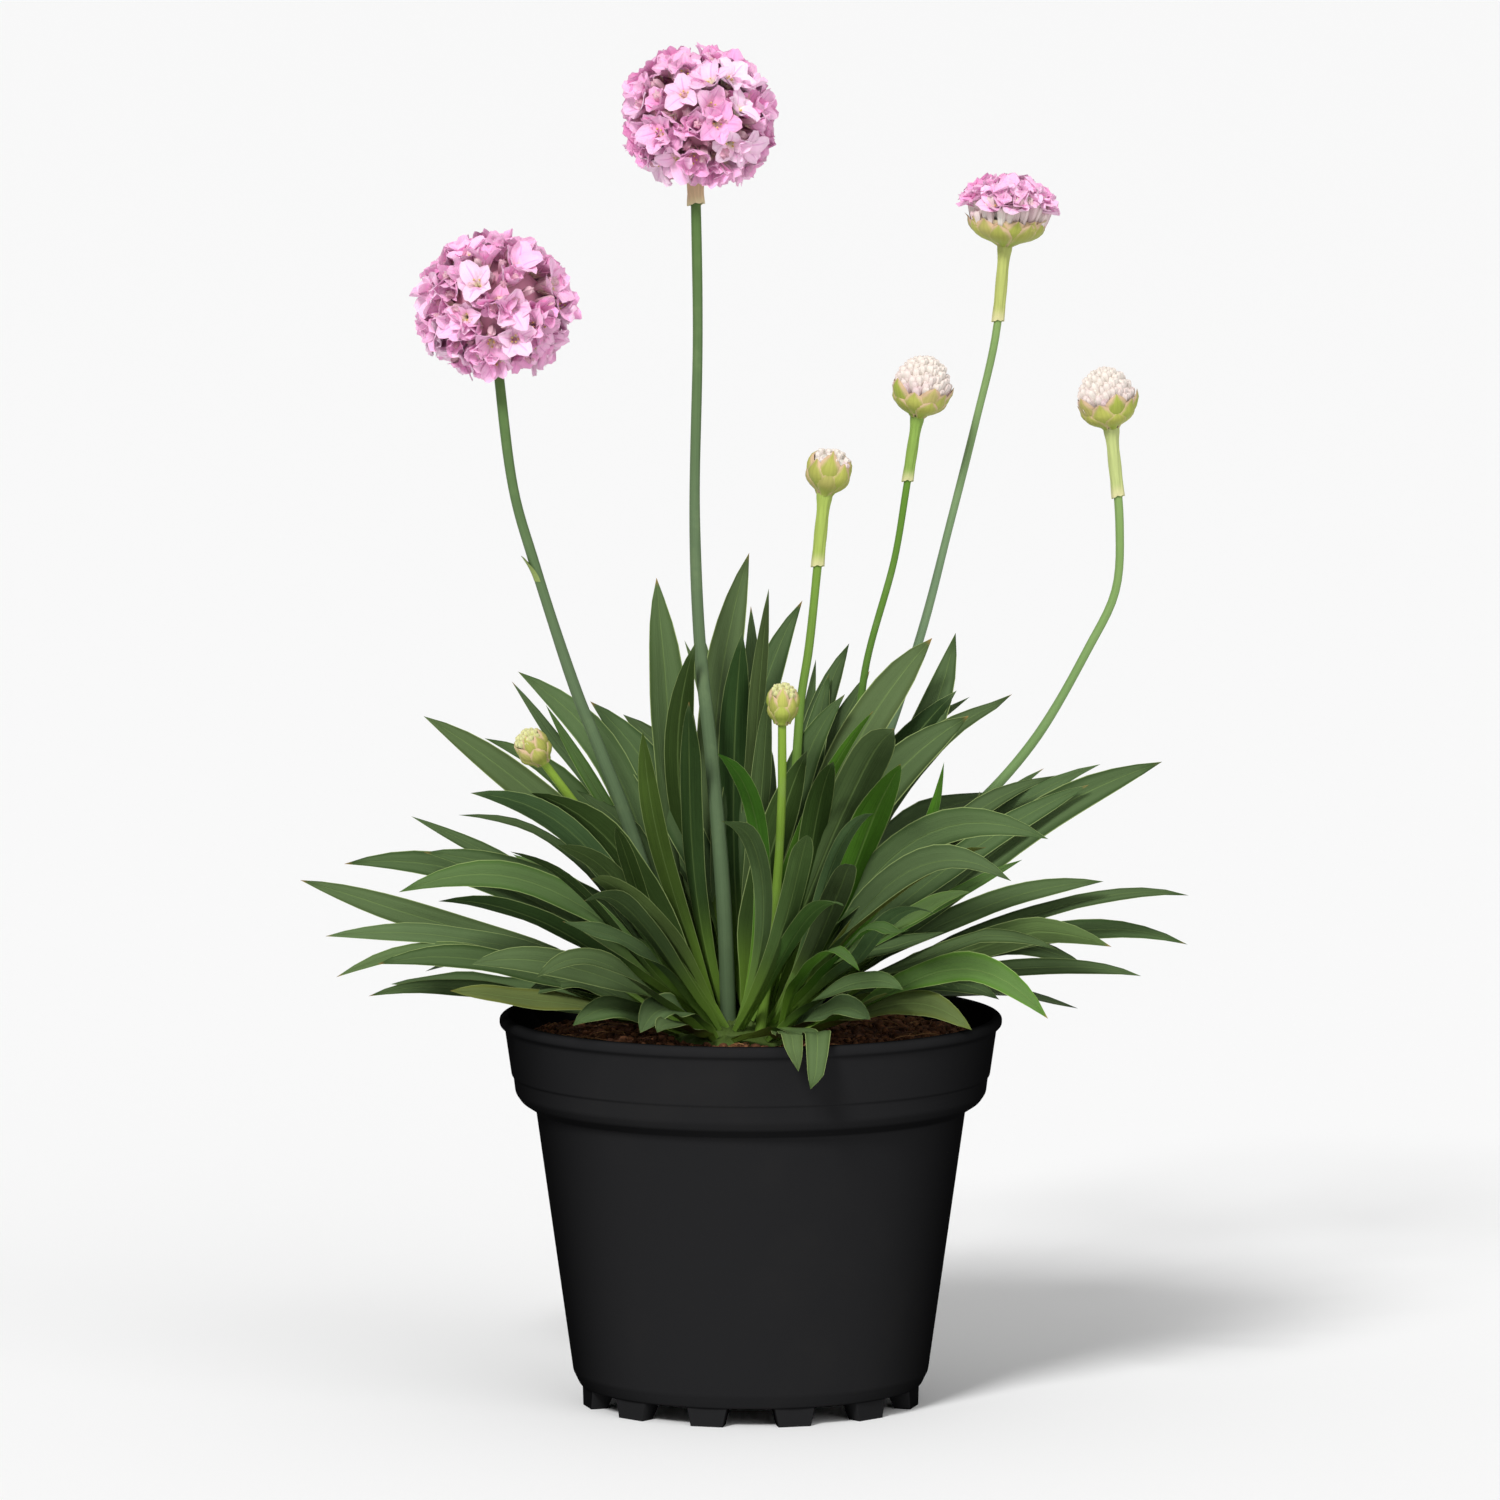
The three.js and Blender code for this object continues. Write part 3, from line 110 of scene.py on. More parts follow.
def smooth(value: Any, start: float, end: float) -> Any:
    """Cubic step 3t^2 - 2t^3 of the value's share between start and end."""
    t = np.clip((value - start) / (end - start), 0.0, 1.0)
    return t * t * (3 - 2 * t)


def unit(vectors: Array) -> Array:
    """Vectors divided by their lengths along the last axis."""
    return vectors / np.maximum(np.linalg.norm(vectors, axis=-1, keepdims=True), 1e-9)


def dot(a: Array, b: Array) -> Array:
    """Dot products along the last axis, which is kept."""
    return np.sum(a * b, axis=-1, keepdims=True)


def turned_about(vectors: Array, axes: Array, angles: Array) -> Array:
    """Turns vectors about unit axes: v cos a + (k x v) sin a + k (k.v)(1 - cos a).

    Args:
        vectors: Vectors along the last axis.
        axes: Unit axes, one for each vector or for all.
        angles: Angles in radians, with a last axis of one.

    Returns:
        The turned vectors.
    """
    cos, sin = np.cos(angles), np.sin(angles)
    return vectors * cos + np.cross(axes, vectors) * sin + axes * dot(axes, vectors) * (1 - cos)


def frame_along(axis: Array) -> Array:
    """The turn that carries +Z to a direction by the shortest way, as the matrix 1 + K + K^2 / (1 + c).

    Args:
        axis: A unit direction, or several along the first axes.

    Returns:
        Matrices whose columns are the turned X, Y and Z.
    """
    x, y, z = axis[..., 0], axis[..., 1], axis[..., 2]
    k = 1 / np.maximum(1 + z, 1e-6)
    rows = [
        [1 - x * x * k, -x * y * k, x],
        [-x * y * k, 1 - y * y * k, y],
        [-x, -y, z],
    ]
    return np.stack([np.stack(row, axis=-1) for row in rows], axis=-2)


class Draws:
    """The same run of draws as the solids use: a 32-bit linear congruential generator."""

    def __init__(self, seed: int) -> None:
        """Starts the run at a seed."""
        self.state = seed

    def between(self, low: float, high: float) -> float:
        """The next draw, between two values."""
        self.state = (self.state * 1664525 + 1013904223) % 2**32
        return lerp(low, high, self.state / 2**32)


@dataclass(frozen=True)
class Sight:
    """The eye of the photograph and the camera that stands there."""

    eye: tuple[float, float, float] = (-0.2, -3000.0, 500.0)
    target: tuple[float, float, float] = (-0.2, 0.0, 169.7)
    lens: float = 280.7
    sensor: float = 36.0
    scale: float = 0.258
    middle: tuple[float, float] = (751.0, 750.0)
    focal: float = 11696.0
    pitch: float = math.radians(6.283)

    def plane(self, x: float, y: float) -> tuple[float, float]:
        """Across and up on the plane through the pot's axis of a pixel, by its angle under level sight."""
        down = math.tan(self.pitch + math.atan((y - self.middle[1]) / self.focal))
        return (x - self.middle[0]) * self.scale, self.eye[2] + self.eye[1] * down

    def seen(self, places: Any) -> Array:
        """Carries places on the plane through the pot's axis along their sight lines to a depth.

        Args:
            places: Rows of across, up and depth.

        Returns:
            Points in the pot's frame: eye + (place - eye) * (depth - eye depth) / -eye depth.
        """
        across, up, depth = np.moveaxis(np.asarray(places, float), -1, 0)
        x, y, z = self.eye
        share = (depth - y) / -y
        return np.stack([x + (across - x) * share, depth, z + (up - z) * share], axis=-1)

    def build(self) -> None:
        """Makes the camera and makes it the scene's."""
        data = bpy.data.cameras.new("photo_camera")
        data.lens, data.sensor_width, data.sensor_fit = self.lens, self.sensor, "HORIZONTAL"
        data.clip_start, data.clip_end = 0.05, 60
        camera = bpy.data.objects.new("photo_camera", data)
        bpy.context.scene.collection.objects.link(camera)
        eye, target = Vector(self.eye) * MM, Vector(self.target) * MM
        camera.location = eye
        camera.rotation_euler = (target - eye).to_track_quat("-Z", "Y").to_euler()
        bpy.context.scene.camera = camera


SIGHT = Sight()


@dataclass
class Shell:
    """Grids of points that are gathered into one mesh, with a UV map, a tint and a mark at each point."""

    points: list[Array] = field(default_factory=list)
    quads: list[Array] = field(default_factory=list)
    uvs: list[Array] = field(default_factory=list)
    tints: list[Array] = field(default_factory=list)
    marks: list[Array] = field(default_factory=list)
    count: int = 0

    def add(self, grids: Array, uv: Array | None = None, tint: Any = (1, 1, 1), mark: Any = 0.0) -> None:
        """Adds grids of quads: each joins the points i, i + 1 of a row to those of the next row.

        Args:
            grids: Points, copies x rows x columns x 3, or one copy without the first axis.
            uv: Rows x columns x 2, or even shares of the columns and rows.
            tint: Colours that broadcast to copies x rows x columns x 3.
            mark: Values that broadcast to copies x rows x columns.
        """
        grids = grids if grids.ndim == 4 else grids[None]
        copies, rows, columns, _ = grids.shape
        if uv is None:
            uv = np.stack(np.meshgrid(np.linspace(0, 1, columns), np.linspace(0, 1, rows)), axis=-1)
        index = np.arange(copies * rows * columns).reshape(copies, rows, columns) + self.count
        quad = [index[:, :-1, :-1], index[:, :-1, 1:], index[:, 1:, 1:], index[:, 1:, :-1]]
        self.quads.append(np.stack(quad, axis=-1).reshape(-1, 4))
        self.points.append(grids.reshape(-1, 3))
        self.uvs.append(np.broadcast_to(uv, (copies, rows, columns, 2)).reshape(-1, 2))
        self.tints.append(np.broadcast_to(np.asarray(tint, float), grids.shape).reshape(-1, 3))
        self.marks.append(np.broadcast_to(np.asarray(mark, float), grids.shape[:3]).reshape(-1))
        self.count += copies * rows * columns

    def add_sheets(self, grids: Array, tint: Any, under: float = 1.0) -> None:
        """Adds closed sheets, whose undersides share the UV places of the face above but have their own mark.

        Args:
            grids: Points from sheet_of.
            tint: Their colours.
            under: The mark of their undersides.
        """
        rows, columns = grids.shape[-3], (grids.shape[-2] + 1) // 2
        across = np.concatenate([np.linspace(0, 1, columns), np.linspace(1, 0, columns)[1:]])
        uv = np.stack(np.meshgrid(across, np.linspace(0, 1, rows)), axis=-1)
        sides = np.concatenate([np.zeros(columns), np.ones(columns - 2), np.zeros(1)])
        self.add(grids, uv, tint, under * sides)

    def make(self, name: str) -> bpy.types.Object:
        """Makes the object: seams and poles are merged, and the faces of each closed body turned outwards.

        Args:
            name: The piece's name.

        Returns:
            The linked object, at the origin.
        """
        mesh = bpy.data.meshes.new(name)
        quads = np.concatenate(self.quads)
        mesh.from_pydata(np.concatenate(self.points) * MM, [], quads)
        uvs = np.concatenate(self.uvs)[quads.ravel()]
        mesh.uv_layers.new(name="UVMap").data.foreach_set("uv", uvs.ravel())
        tints = np.concatenate(self.tints)
        rgba = np.concatenate([tints, np.ones((len(tints), 1))], axis=1)
        mesh.color_attributes.new("tint", "FLOAT_COLOR", "POINT").data.foreach_set("color", rgba.ravel())
        mesh.attributes.new("mark", "FLOAT", "POINT").data.foreach_set("value", np.concatenate(self.marks))
        work = bmesh.new()
        work.from_mesh(mesh)
        bmesh.ops.remove_doubles(work, verts=work.verts, dist=2e-7)
        bmesh.ops.dissolve_degenerate(work, edges=work.edges, dist=1e-8)
        bmesh.ops.recalc_face_normals(work, faces=work.faces)
        work.to_mesh(mesh)
        work.free()
        mesh.polygons.foreach_set("use_smooth", np.ones(len(mesh.polygons), bool))
        mesh.set_sharp_from_angle(angle=math.radians(58))
        piece = bpy.data.objects.new(name, mesh)
        bpy.context.scene.collection.objects.link(piece)
        return piece


def sheet_of(face: Array, thickness: float, ends: Any = 1.0) -> Array:
    """Closes a sheet: its underside lies below it, along normals from the grid's differences.

    The thickness falls to nothing at both ends and, as sqrt(1 - u^2) with u from -1 to 1, at both margins.

    Args:
        face: Points of the upper side, ... x rows x columns x 3.
        thickness: The thickness of its middle.
        ends: Shares of the thickness along it, as a column.

    Returns:
        Grids that run over the upper side and back under it, ... x rows x (2 columns - 1) x 3.
    """
    rows, columns = face.shape[-3:-1]
    border = np.sqrt(np.maximum(0, 1 - np.linspace(-1, 1, columns) ** 2)) * ends * np.ones((rows, 1))
    border[0] = border[-1] = 0
    along = np.gradient(face, axis=-3)
    across = np.gradient(face, axis=-2)
    under = face - unit(np.cross(across, along)) * (thickness * border)[..., None]
    return np.concatenate([face, under[..., -2::-1, :]], axis=-2)


def lathe(profile: Any, sides: int) -> Array:
    """Turns a profile of radius and height round the axis: (r cos a, r sin a, h).

    Args:
        profile: Rows of radius and height.
        sides: Faces round the axis.

    Returns:
        Points, profile x (sides + 1) x 3.
    """
    profile = np.asarray(profile, float)
    return polar(profile[:, :1], np.linspace(0, TAU, sides + 1), profile[:, 1:])


def rounded(profile: Any, radius: float) -> Array:
    """Rounds the inner corners of a profile: each is replaced by four points of a quadratic curve about it.

    Args:
        profile: Rows of radius and height.
        radius: How far from a corner its curve starts, at most 0.4 of the shorter side.

    Returns:
        The longer profile.
    """
    points = np.asarray(profile, float)
    out = [points[:1]]
    share = np.linspace(0, 1, 4)[:, None]
    for before, corner, after in zip(points[:-2], points[1:-1], points[2:]):
        sides = [np.linalg.norm(before - corner), np.linalg.norm(after - corner)]
        reach = min(radius, 0.4 * min(sides))
        start = corner + (before - corner) / sides[0] * reach
        end = corner + (after - corner) / sides[1] * reach
        out.append((1 - share) ** 2 * start + 2 * share * (1 - share) * corner + share**2 * end)
    return np.concatenate([*out, points[-1:]])


def tube(centres: Array, radii: Array, sides: int) -> tuple[Array, Array]:
    """Carries a circle along a path: centre + r (side cos a + up sin a), up being depth made square to it.

    Args:
        centres: Points of the path.
        radii: Radius at each point, or rows x (sides + 1).
        sides: Faces round the tube.

    Returns:
        Points, rows x (sides + 1) x 3, and the path's unit directions.
    """
    along = unit(np.gradient(centres, axis=0))
    depth = np.array([0.0, 1.0, 0.0])
    up = unit(depth - dot(along, depth) * along)
    side = np.cross(along, up)
    turn = np.linspace(0, TAU, sides + 1)[:, None]
    radii = np.broadcast_to(np.asarray(radii, float).reshape(len(centres), -1), (len(centres), sides + 1))
    ring = side[:, None] * np.cos(turn) + up[:, None] * np.sin(turn)
    return centres[:, None] + radii[..., None] * ring, along


class Wire:
    """A socket of a node, with arithmetic that adds Math nodes."""

    def __init__(self, desk: "Desk", socket: Any) -> None:
        """Wraps a socket."""
        self.desk, self.socket = desk, socket

    def _maths(self, operation: str, first: Any, second: Any) -> "Wire":
        """One Math node of two values."""
        return self.desk.node("ShaderNodeMath", {"operation": operation}, {0: first, 1: second})

    def __add__(self, other: Any) -> "Wire":
        """Sum."""
        return self._maths("ADD", self, other)

    __radd__ = __add__

    def __sub__(self, other: Any) -> "Wire":
        """Difference."""
        return self._maths("SUBTRACT", self, other)

    def __rsub__(self, other: Any) -> "Wire":
        """Difference the other way round."""
        return self._maths("SUBTRACT", other, self)

    def __mul__(self, other: Any) -> "Wire":
        """Product."""
        return self._maths("MULTIPLY", self, other)

    def __abs__(self) -> "Wire":
        """Absolute value."""
        return self._maths("ABSOLUTE", self, 0.0)

    def step(self, start: float, end: float) -> "Wire":
        """A smooth step from 0 at start to 1 at end."""
        settings = {"interpolation_type": "SMOOTHSTEP"}
        return self.desk.node("ShaderNodeMapRange", settings, {0: self, 1: start, 2: end, 3: 0.0, 4: 1.0})


class Desk:
    """A material's node tree, where every node comes from one method."""

    def __init__(self, name: str) -> None:
        """Starts a material with no nodes."""
        self.material = bpy.data.materials.new(name)
        self.material.use_nodes = True
        self.tree = self.material.node_tree
        self.tree.nodes.clear()

    def node(self, kind: str, settings: dict[str, Any], inputs: dict[Any, Any], out: int | str = 0) -> Wire:
        """Adds a node: its settings first, then its inputs.

        Args:
            kind: The node's type.
            settings: Properties of the node.
            inputs: Values or wires by the socket's name or number.
            out: The output that is wanted.

        Returns:
            The wanted output.
        """
        made = self.tree.nodes.new(kind)
        for key, value in settings.items():
            setattr(made, key, value)
        for key, value in inputs.items():
            if isinstance(value, Wire):
                self.tree.links.new(value.socket, made.inputs[key])
            elif isinstance(value, tuple) and made.inputs[key].type == "RGBA":
                made.inputs[key].default_value = (*value, 1.0)
            else:
                made.inputs[key].default_value = value
        return Wire(self, made.outputs[out])

    def place(self) -> Wire:
        """Object coordinates, in metres."""
        return self.node("ShaderNodeTexCoord", {}, {}, "Object")

    def across_along(self) -> tuple[Wire, Wire]:
        """The two coordinates of the piece's own UV map."""
        uv = self.node("ShaderNodeUVMap", {"uv_map": "UVMap"}, {})
        split = self.node("ShaderNodeSeparateXYZ", {}, {0: uv})
        return split, Wire(self, split.socket.node.outputs[1])

    def tint(self) -> Wire:
        """The colour painted at each point."""
        return self.node("ShaderNodeAttribute", {"attribute_name": "tint"}, {}, "Color")

    def mark(self) -> Wire:
        """The value marked at each point."""
        return self.node("ShaderNodeAttribute", {"attribute_name": "mark"}, {}, "Fac")

    def noise(self, vector: Wire, scale: float, detail: float = 3.0, roughness: float = 0.5) -> Wire:
        """Noise from 0 to 1 about 0.5."""
        inputs = {"Vector": vector, "Scale": scale, "Detail": detail, "Roughness": roughness}
        return self.node("ShaderNodeTexNoise", {"noise_dimensions": "3D"}, inputs)

    def veins(self, across: Wire, along: Wire, offset: float = 0.0, detail: float = 2.0) -> Wire:
        """Noise drawn out along a piece, for its veins, ribs or streaks."""
        drawn = self.node("ShaderNodeCombineXYZ", {}, {0: across, 1: along, 2: offset})
        return self.noise(drawn, 1.0, detail)

    def mix(self, share: Any, first: Any, second: Any, way: str = "MIX") -> Wire:
        """Mixes two colours."""
        made = self.node("ShaderNodeMix", {"data_type": "RGBA", "blend_type": way}, {0: share}, 2)
        inputs = made.socket.node.inputs
        for socket, value in ((inputs[6], first), (inputs[7], second)):
            if isinstance(value, Wire):
                self.tree.links.new(value.socket, socket)
            else:
                socket.default_value = (*value, 1.0)
        return made

    def shade(self, colour: Wire, amount: Wire) -> Wire:
        """Multiplies a colour by a value."""
        grey = self.node("ShaderNodeCombineColor", {}, {0: amount, 1: amount, 2: amount})
        return self.mix(1.0, colour, grey, "MULTIPLY")

    def bump(self, height: Wire, depth: float, strength: float = 1.0) -> Wire:
        """A bump whose full height is a depth in millimetres."""
        inputs = {"Height": height, "Distance": depth * MM, "Strength": strength}
        return self.node("ShaderNodeBump", {}, inputs)

    def finish(
        self, colour: Any, roughness: Any, normal: Wire | None = None, **constants: Any
    ) -> bpy.types.Material:
        """Closes the tree with a Principled shader.

        Args:
            colour: Base colour.
            roughness: Roughness.
            normal: Bump, or none.
            constants: Other sockets by name, with underscores for spaces.

        Returns:
            The material.
        """
        inputs = {"Base Color": colour, "Roughness": roughness}
        if normal is not None:
            inputs["Normal"] = normal
        inputs |= {key.replace("_", " "): value for key, value in constants.items()}
        shader = self.node("ShaderNodeBsdfPrincipled", {}, inputs)
        end = self.tree.nodes.new("ShaderNodeOutputMaterial")
        self.tree.links.new(shader.socket, end.inputs["Surface"])
        return self.material


@dataclass(frozen=True)
class PotFinish:
    """Black moulded plastic: faint upright flow marks and dust, and painted shade that darkens it towards
    grazing edges, so its middle looks like a soft sheen.
    """

    black: Colour = paint("#202021")
    dusty: Colour = paint("#282726")
    # edge is painted shade: the near-black that the plastic is darkened to where its sides turn edge-on to
    # the eye, away from the light.
    edge: Colour = (0.0018, 0.0018, 0.0019)

    def make(self) -> bpy.types.Material:
        """Makes the material."""
        desk = Desk("black_moulded_plastic")
        place = desk.place()
        fine = desk.noise(place, 900.0, 2.0)
        cloud = desk.noise(place, 22.0, 4.0, 0.6)
        colour = desk.mix(cloud.step(0.5, 0.8) * 0.35, self.black, self.dusty)
        # Painted shade: the colour goes towards edge as the surface turns edge-on, darkening the pot's sides.
        grazing_shade = desk.node("ShaderNodeLayerWeight", {}, {"Blend": 0.5}, "Facing")
        colour = desk.mix(grazing_shade.step(0.2, 0.85) * 0.8, colour, self.edge)
        roughness = 0.48 + cloud * 0.14 + fine * 0.08
        return desk.finish(colour, roughness, desk.bump(fine, 0.03, 0.5), Specular_IOR_Level=0.0)


@dataclass(frozen=True)
class SoilFinish:
    """Peat and coir: reddish-brown crumbs with lighter fibres."""

    dark: Colour = paint("#472b1d")
    warm: Colour = paint("#8c5a3c")

    def make(self) -> bpy.types.Material:
        """Makes the material."""
        desk = Desk("peat_and_coir")
        place = desk.place()
        crumbs = desk.noise(place, 700.0, 5.0, 0.7)
        patches = desk.noise(place, 120.0, 3.0)
        colour = desk.mix(crumbs.step(0.35, 0.7), self.dark, self.warm)
        colour = desk.shade(desk.mix(desk.mark(), colour, desk.tint()), 0.7 + patches * 0.6)
        return desk.finish(colour, 0.95, desk.bump(crumbs, 0.8), Specular_IOR_Level=0.2)


@dataclass(frozen=True)
class LeafFinish:
    """Living strap leaf: parallel veins, a pale midrib and margin, a fresh base and a greyer underside."""

    midrib: Colour = paint("#86a05c")
    margin: Colour = paint("#a9bb78")
    base: Colour = paint("#7fa63a")
    under: Colour = paint("#63784f")
    dry: Colour = paint("#a07a46")

    def make(self) -> bpy.types.Material:
        """Makes the material."""
        desk = Desk("strap_leaf")
        across, along = desk.across_along()
        place = desk.place()
        off = abs(across - 0.5)
        veins = desk.veins(across * 46.0, along * 2.2)
        cloud = desk.noise(place, 55.0, 4.0, 0.6)
        speckle = desk.noise(place, 620.0, 2.0)
        colour = desk.shade(desk.tint(), 0.5 + cloud * 0.46 + (veins - 0.5) * 0.6)
        colour = desk.mix(desk.mark() * 0.5, colour, self.under)
        colour = desk.mix((1 - off.step(0.0, 0.05)) * 0.26, colour, self.midrib)
        colour = desk.mix(off.step(0.465, 0.497) * 0.6, colour, self.margin)
        colour = desk.mix((1 - along.step(0.02, 0.36)) * 0.6, colour, self.base)
        tip = along.step(0.975, 1.0) * cloud.step(0.5, 0.6)
        colour = desk.mix(tip * 0.8, colour, self.dry)
        roughness = 0.46 + cloud * 0.16 + speckle * 0.08
        height = veins * 0.6 + speckle * 0.2 - (1 - off.step(0.0, 0.04)) * 0.5
        return desk.finish(colour, roughness, desk.bump(height, 0.22), Specular_IOR_Level=0.07)


@dataclass(frozen=True)
class StemFinish:
    """Round living stem with fine ribs along it and a waxy bloom."""

    bloom: Colour = paint("#7e9062")

    def make(self) -> bpy.types.Material:
        """Makes the material."""
        desk = Desk("flower_stem")
        across, along = desk.across_along()
        ribs = desk.veins(across * 24.0, along * 5.0)
        cloud = desk.noise(desk.place(), 90.0, 4.0, 0.6)
        colour = desk.shade(desk.tint(), 0.62 + ribs * 0.28 + cloud * 0.22)
        colour = desk.mix(cloud.step(0.52, 0.75) * 0.3, colour, self.bloom)
        return desk.finish(colour, 0.5 + cloud * 0.12, desk.bump(ribs, 0.12), Specular_IOR_Level=0.15)


@dataclass(frozen=True)
class SheathFinish:
    """Thin papery sheath with streaks, browner at its torn rim."""

    rim: Colour = paint("#d9cfa0")

    def make(self) -> bpy.types.Material:
        """Makes the material."""
        desk = Desk("papery_sheath")
        across, along = desk.across_along()
        streaks = desk.veins(across * 30.0, along * 2.5, 0.3, 3.0)
        colour = desk.shade(desk.tint(), 0.68 + streaks * 0.4)
        colour = desk.mix((1 - along.step(0.0, 0.22)) * 0.7, colour, self.rim)
        return desk.finish(colour, 0.62, desk.bump(streaks, 0.15), Specular_IOR_Level=0.35)


@dataclass(frozen=True)
class BractFinish:
    """Green bract with a papery tan margin and a brighter base."""

    papery: Colour = paint("#cfae92")
    fresh: Colour = paint("#86a23a")

    def make(self) -> bpy.types.Material:
        """Makes the material."""
        desk = Desk("green_bract")
        across, along = desk.across_along()
        off = abs(across - 0.5) * 2.0
        veins = desk.veins(across * 16.0, along * 1.5, 0.7)
        edge = desk.noise(desk.place(), 700.0, 2.0) * 0.3 - 0.15
        colour = desk.shade(desk.tint(), 0.78 + veins * 0.44)
        colour = desk.mix((1 - along.step(0.1, 0.5)) * 0.5, colour, self.fresh)
        rim = (off + edge + along.step(0.4, 1.0) * 0.5).step(0.5, 1.05)
        colour = desk.mix(rim * 0.85, colour, self.papery)
        return desk.finish(colour, 0.55, desk.bump(veins, 0.12), Specular_IOR_Level=0.15)


@dataclass(frozen=True)
class PetalFinish:
    """Thin petal: a greenish cream throat, a deeper middle line and fine veins."""

    throat: Colour = paint("#e8e6b4")
    line: Colour = paint("#cc7ab8")
    radius: Colour = (1.0, 0.6, 0.85)
    sheen: Colour = (1.0, 0.78, 0.92)

    def make(self) -> bpy.types.Material:
        """Makes the material."""
        desk = Desk("thrift_petal")
        across, along = desk.across_along()
        off = abs(across - 0.5)
        veins = desk.veins(across * 18.0, along * 1.6, 0.1)
        cloud = desk.noise(desk.place(), 160.0, 3.0)
        colour = desk.shade(desk.tint(), 0.78 + veins * 0.3 + cloud * 0.14)
        stamen = desk.mark().step(0.8, 1.0)
        middle = (1 - off.step(0.0, 0.07)) * (1 - along.step(0.75, 0.98)) * (1 - stamen)
        colour = desk.mix(middle * 0.5, colour, self.line)
        colour = desk.mix((1 - along.step(0.1, 0.36)) * 0.75 * (1 - stamen), colour, self.throat)
        return desk.finish(
            colour, 0.6, desk.bump(veins, 0.14), Specular_IOR_Level=0.2, Subsurface_Weight=0.25,
            Subsurface_Radius=self.radius, Subsurface_Scale=0.0005, Sheen_Weight=0.5, Sheen_Tint=self.sheen,
        )


@dataclass(frozen=True)
class CalyxFinish:
    """Papery calyx, ribbed, pale with a mauve flush."""

    rib: Colour = paint("#bfa6a4")

    def make(self) -> bpy.types.Material:
        """Makes the material."""
        desk = Desk("papery_calyx")
        across, along = desk.across_along()
        veins = desk.veins(across * 20.0, along * 2.0, 0.5)
        colour = desk.shade(desk.tint(), 0.72 + veins * 0.44)
        colour = desk.mix(desk.mark() * 0.55, colour, self.rib)
        return desk.finish(colour, 0.62, desk.bump(veins, 0.1), Specular_IOR_Level=0.3)


@dataclass(frozen=True)
class FloorFinish:
    """Plain pale studio floor."""

    pale: Colour = paint("#f6f6f6")

    def make(self) -> bpy.types.Material:
        """Makes the material."""
        desk = Desk("pale_floor")
        return desk.finish(self.pale, 0.8, Specular_IOR_Level=0.1)


@dataclass
class Bench:
    """Holds the finishes, and sets each piece on its body, in its slot and for its nodes."""

    finishes: dict[Slot, bpy.types.Material] = field(default_factory=dict)

    def build(self) -> None:
        """Makes the finishes of all slots."""
        self.finishes = {
            Slot.POT: PotFinish().make(),
            Slot.SOIL: SoilFinish().make(),
            Slot.LEAF: LeafFinish().make(),
            Slot.STEM: StemFinish().make(),
            Slot.SHEATH: SheathFinish().make(),
            Slot.BRACT: BractFinish().make(),
            Slot.PETAL: PetalFinish().make(),
            Slot.CALYX: CalyxFinish().make(),
        }

    def set(self, piece: bpy.types.Object, slot: Slot, *nodes: str) -> None:
        """Dresses a piece and reports it.

        Args:
            piece: The finished piece.
            slot: Its material slot.
            nodes: The nodes of the frame that it stands for.
        """
        piece.data.materials.clear()
        piece.data.materials.append(self.finishes[slot])
        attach(piece, "root")
        if nodes:
            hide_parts(*nodes)
        log.info("%s: %d faces, for %s", piece.name, len(piece.data.polygons), ", ".join(nodes) or "itself")


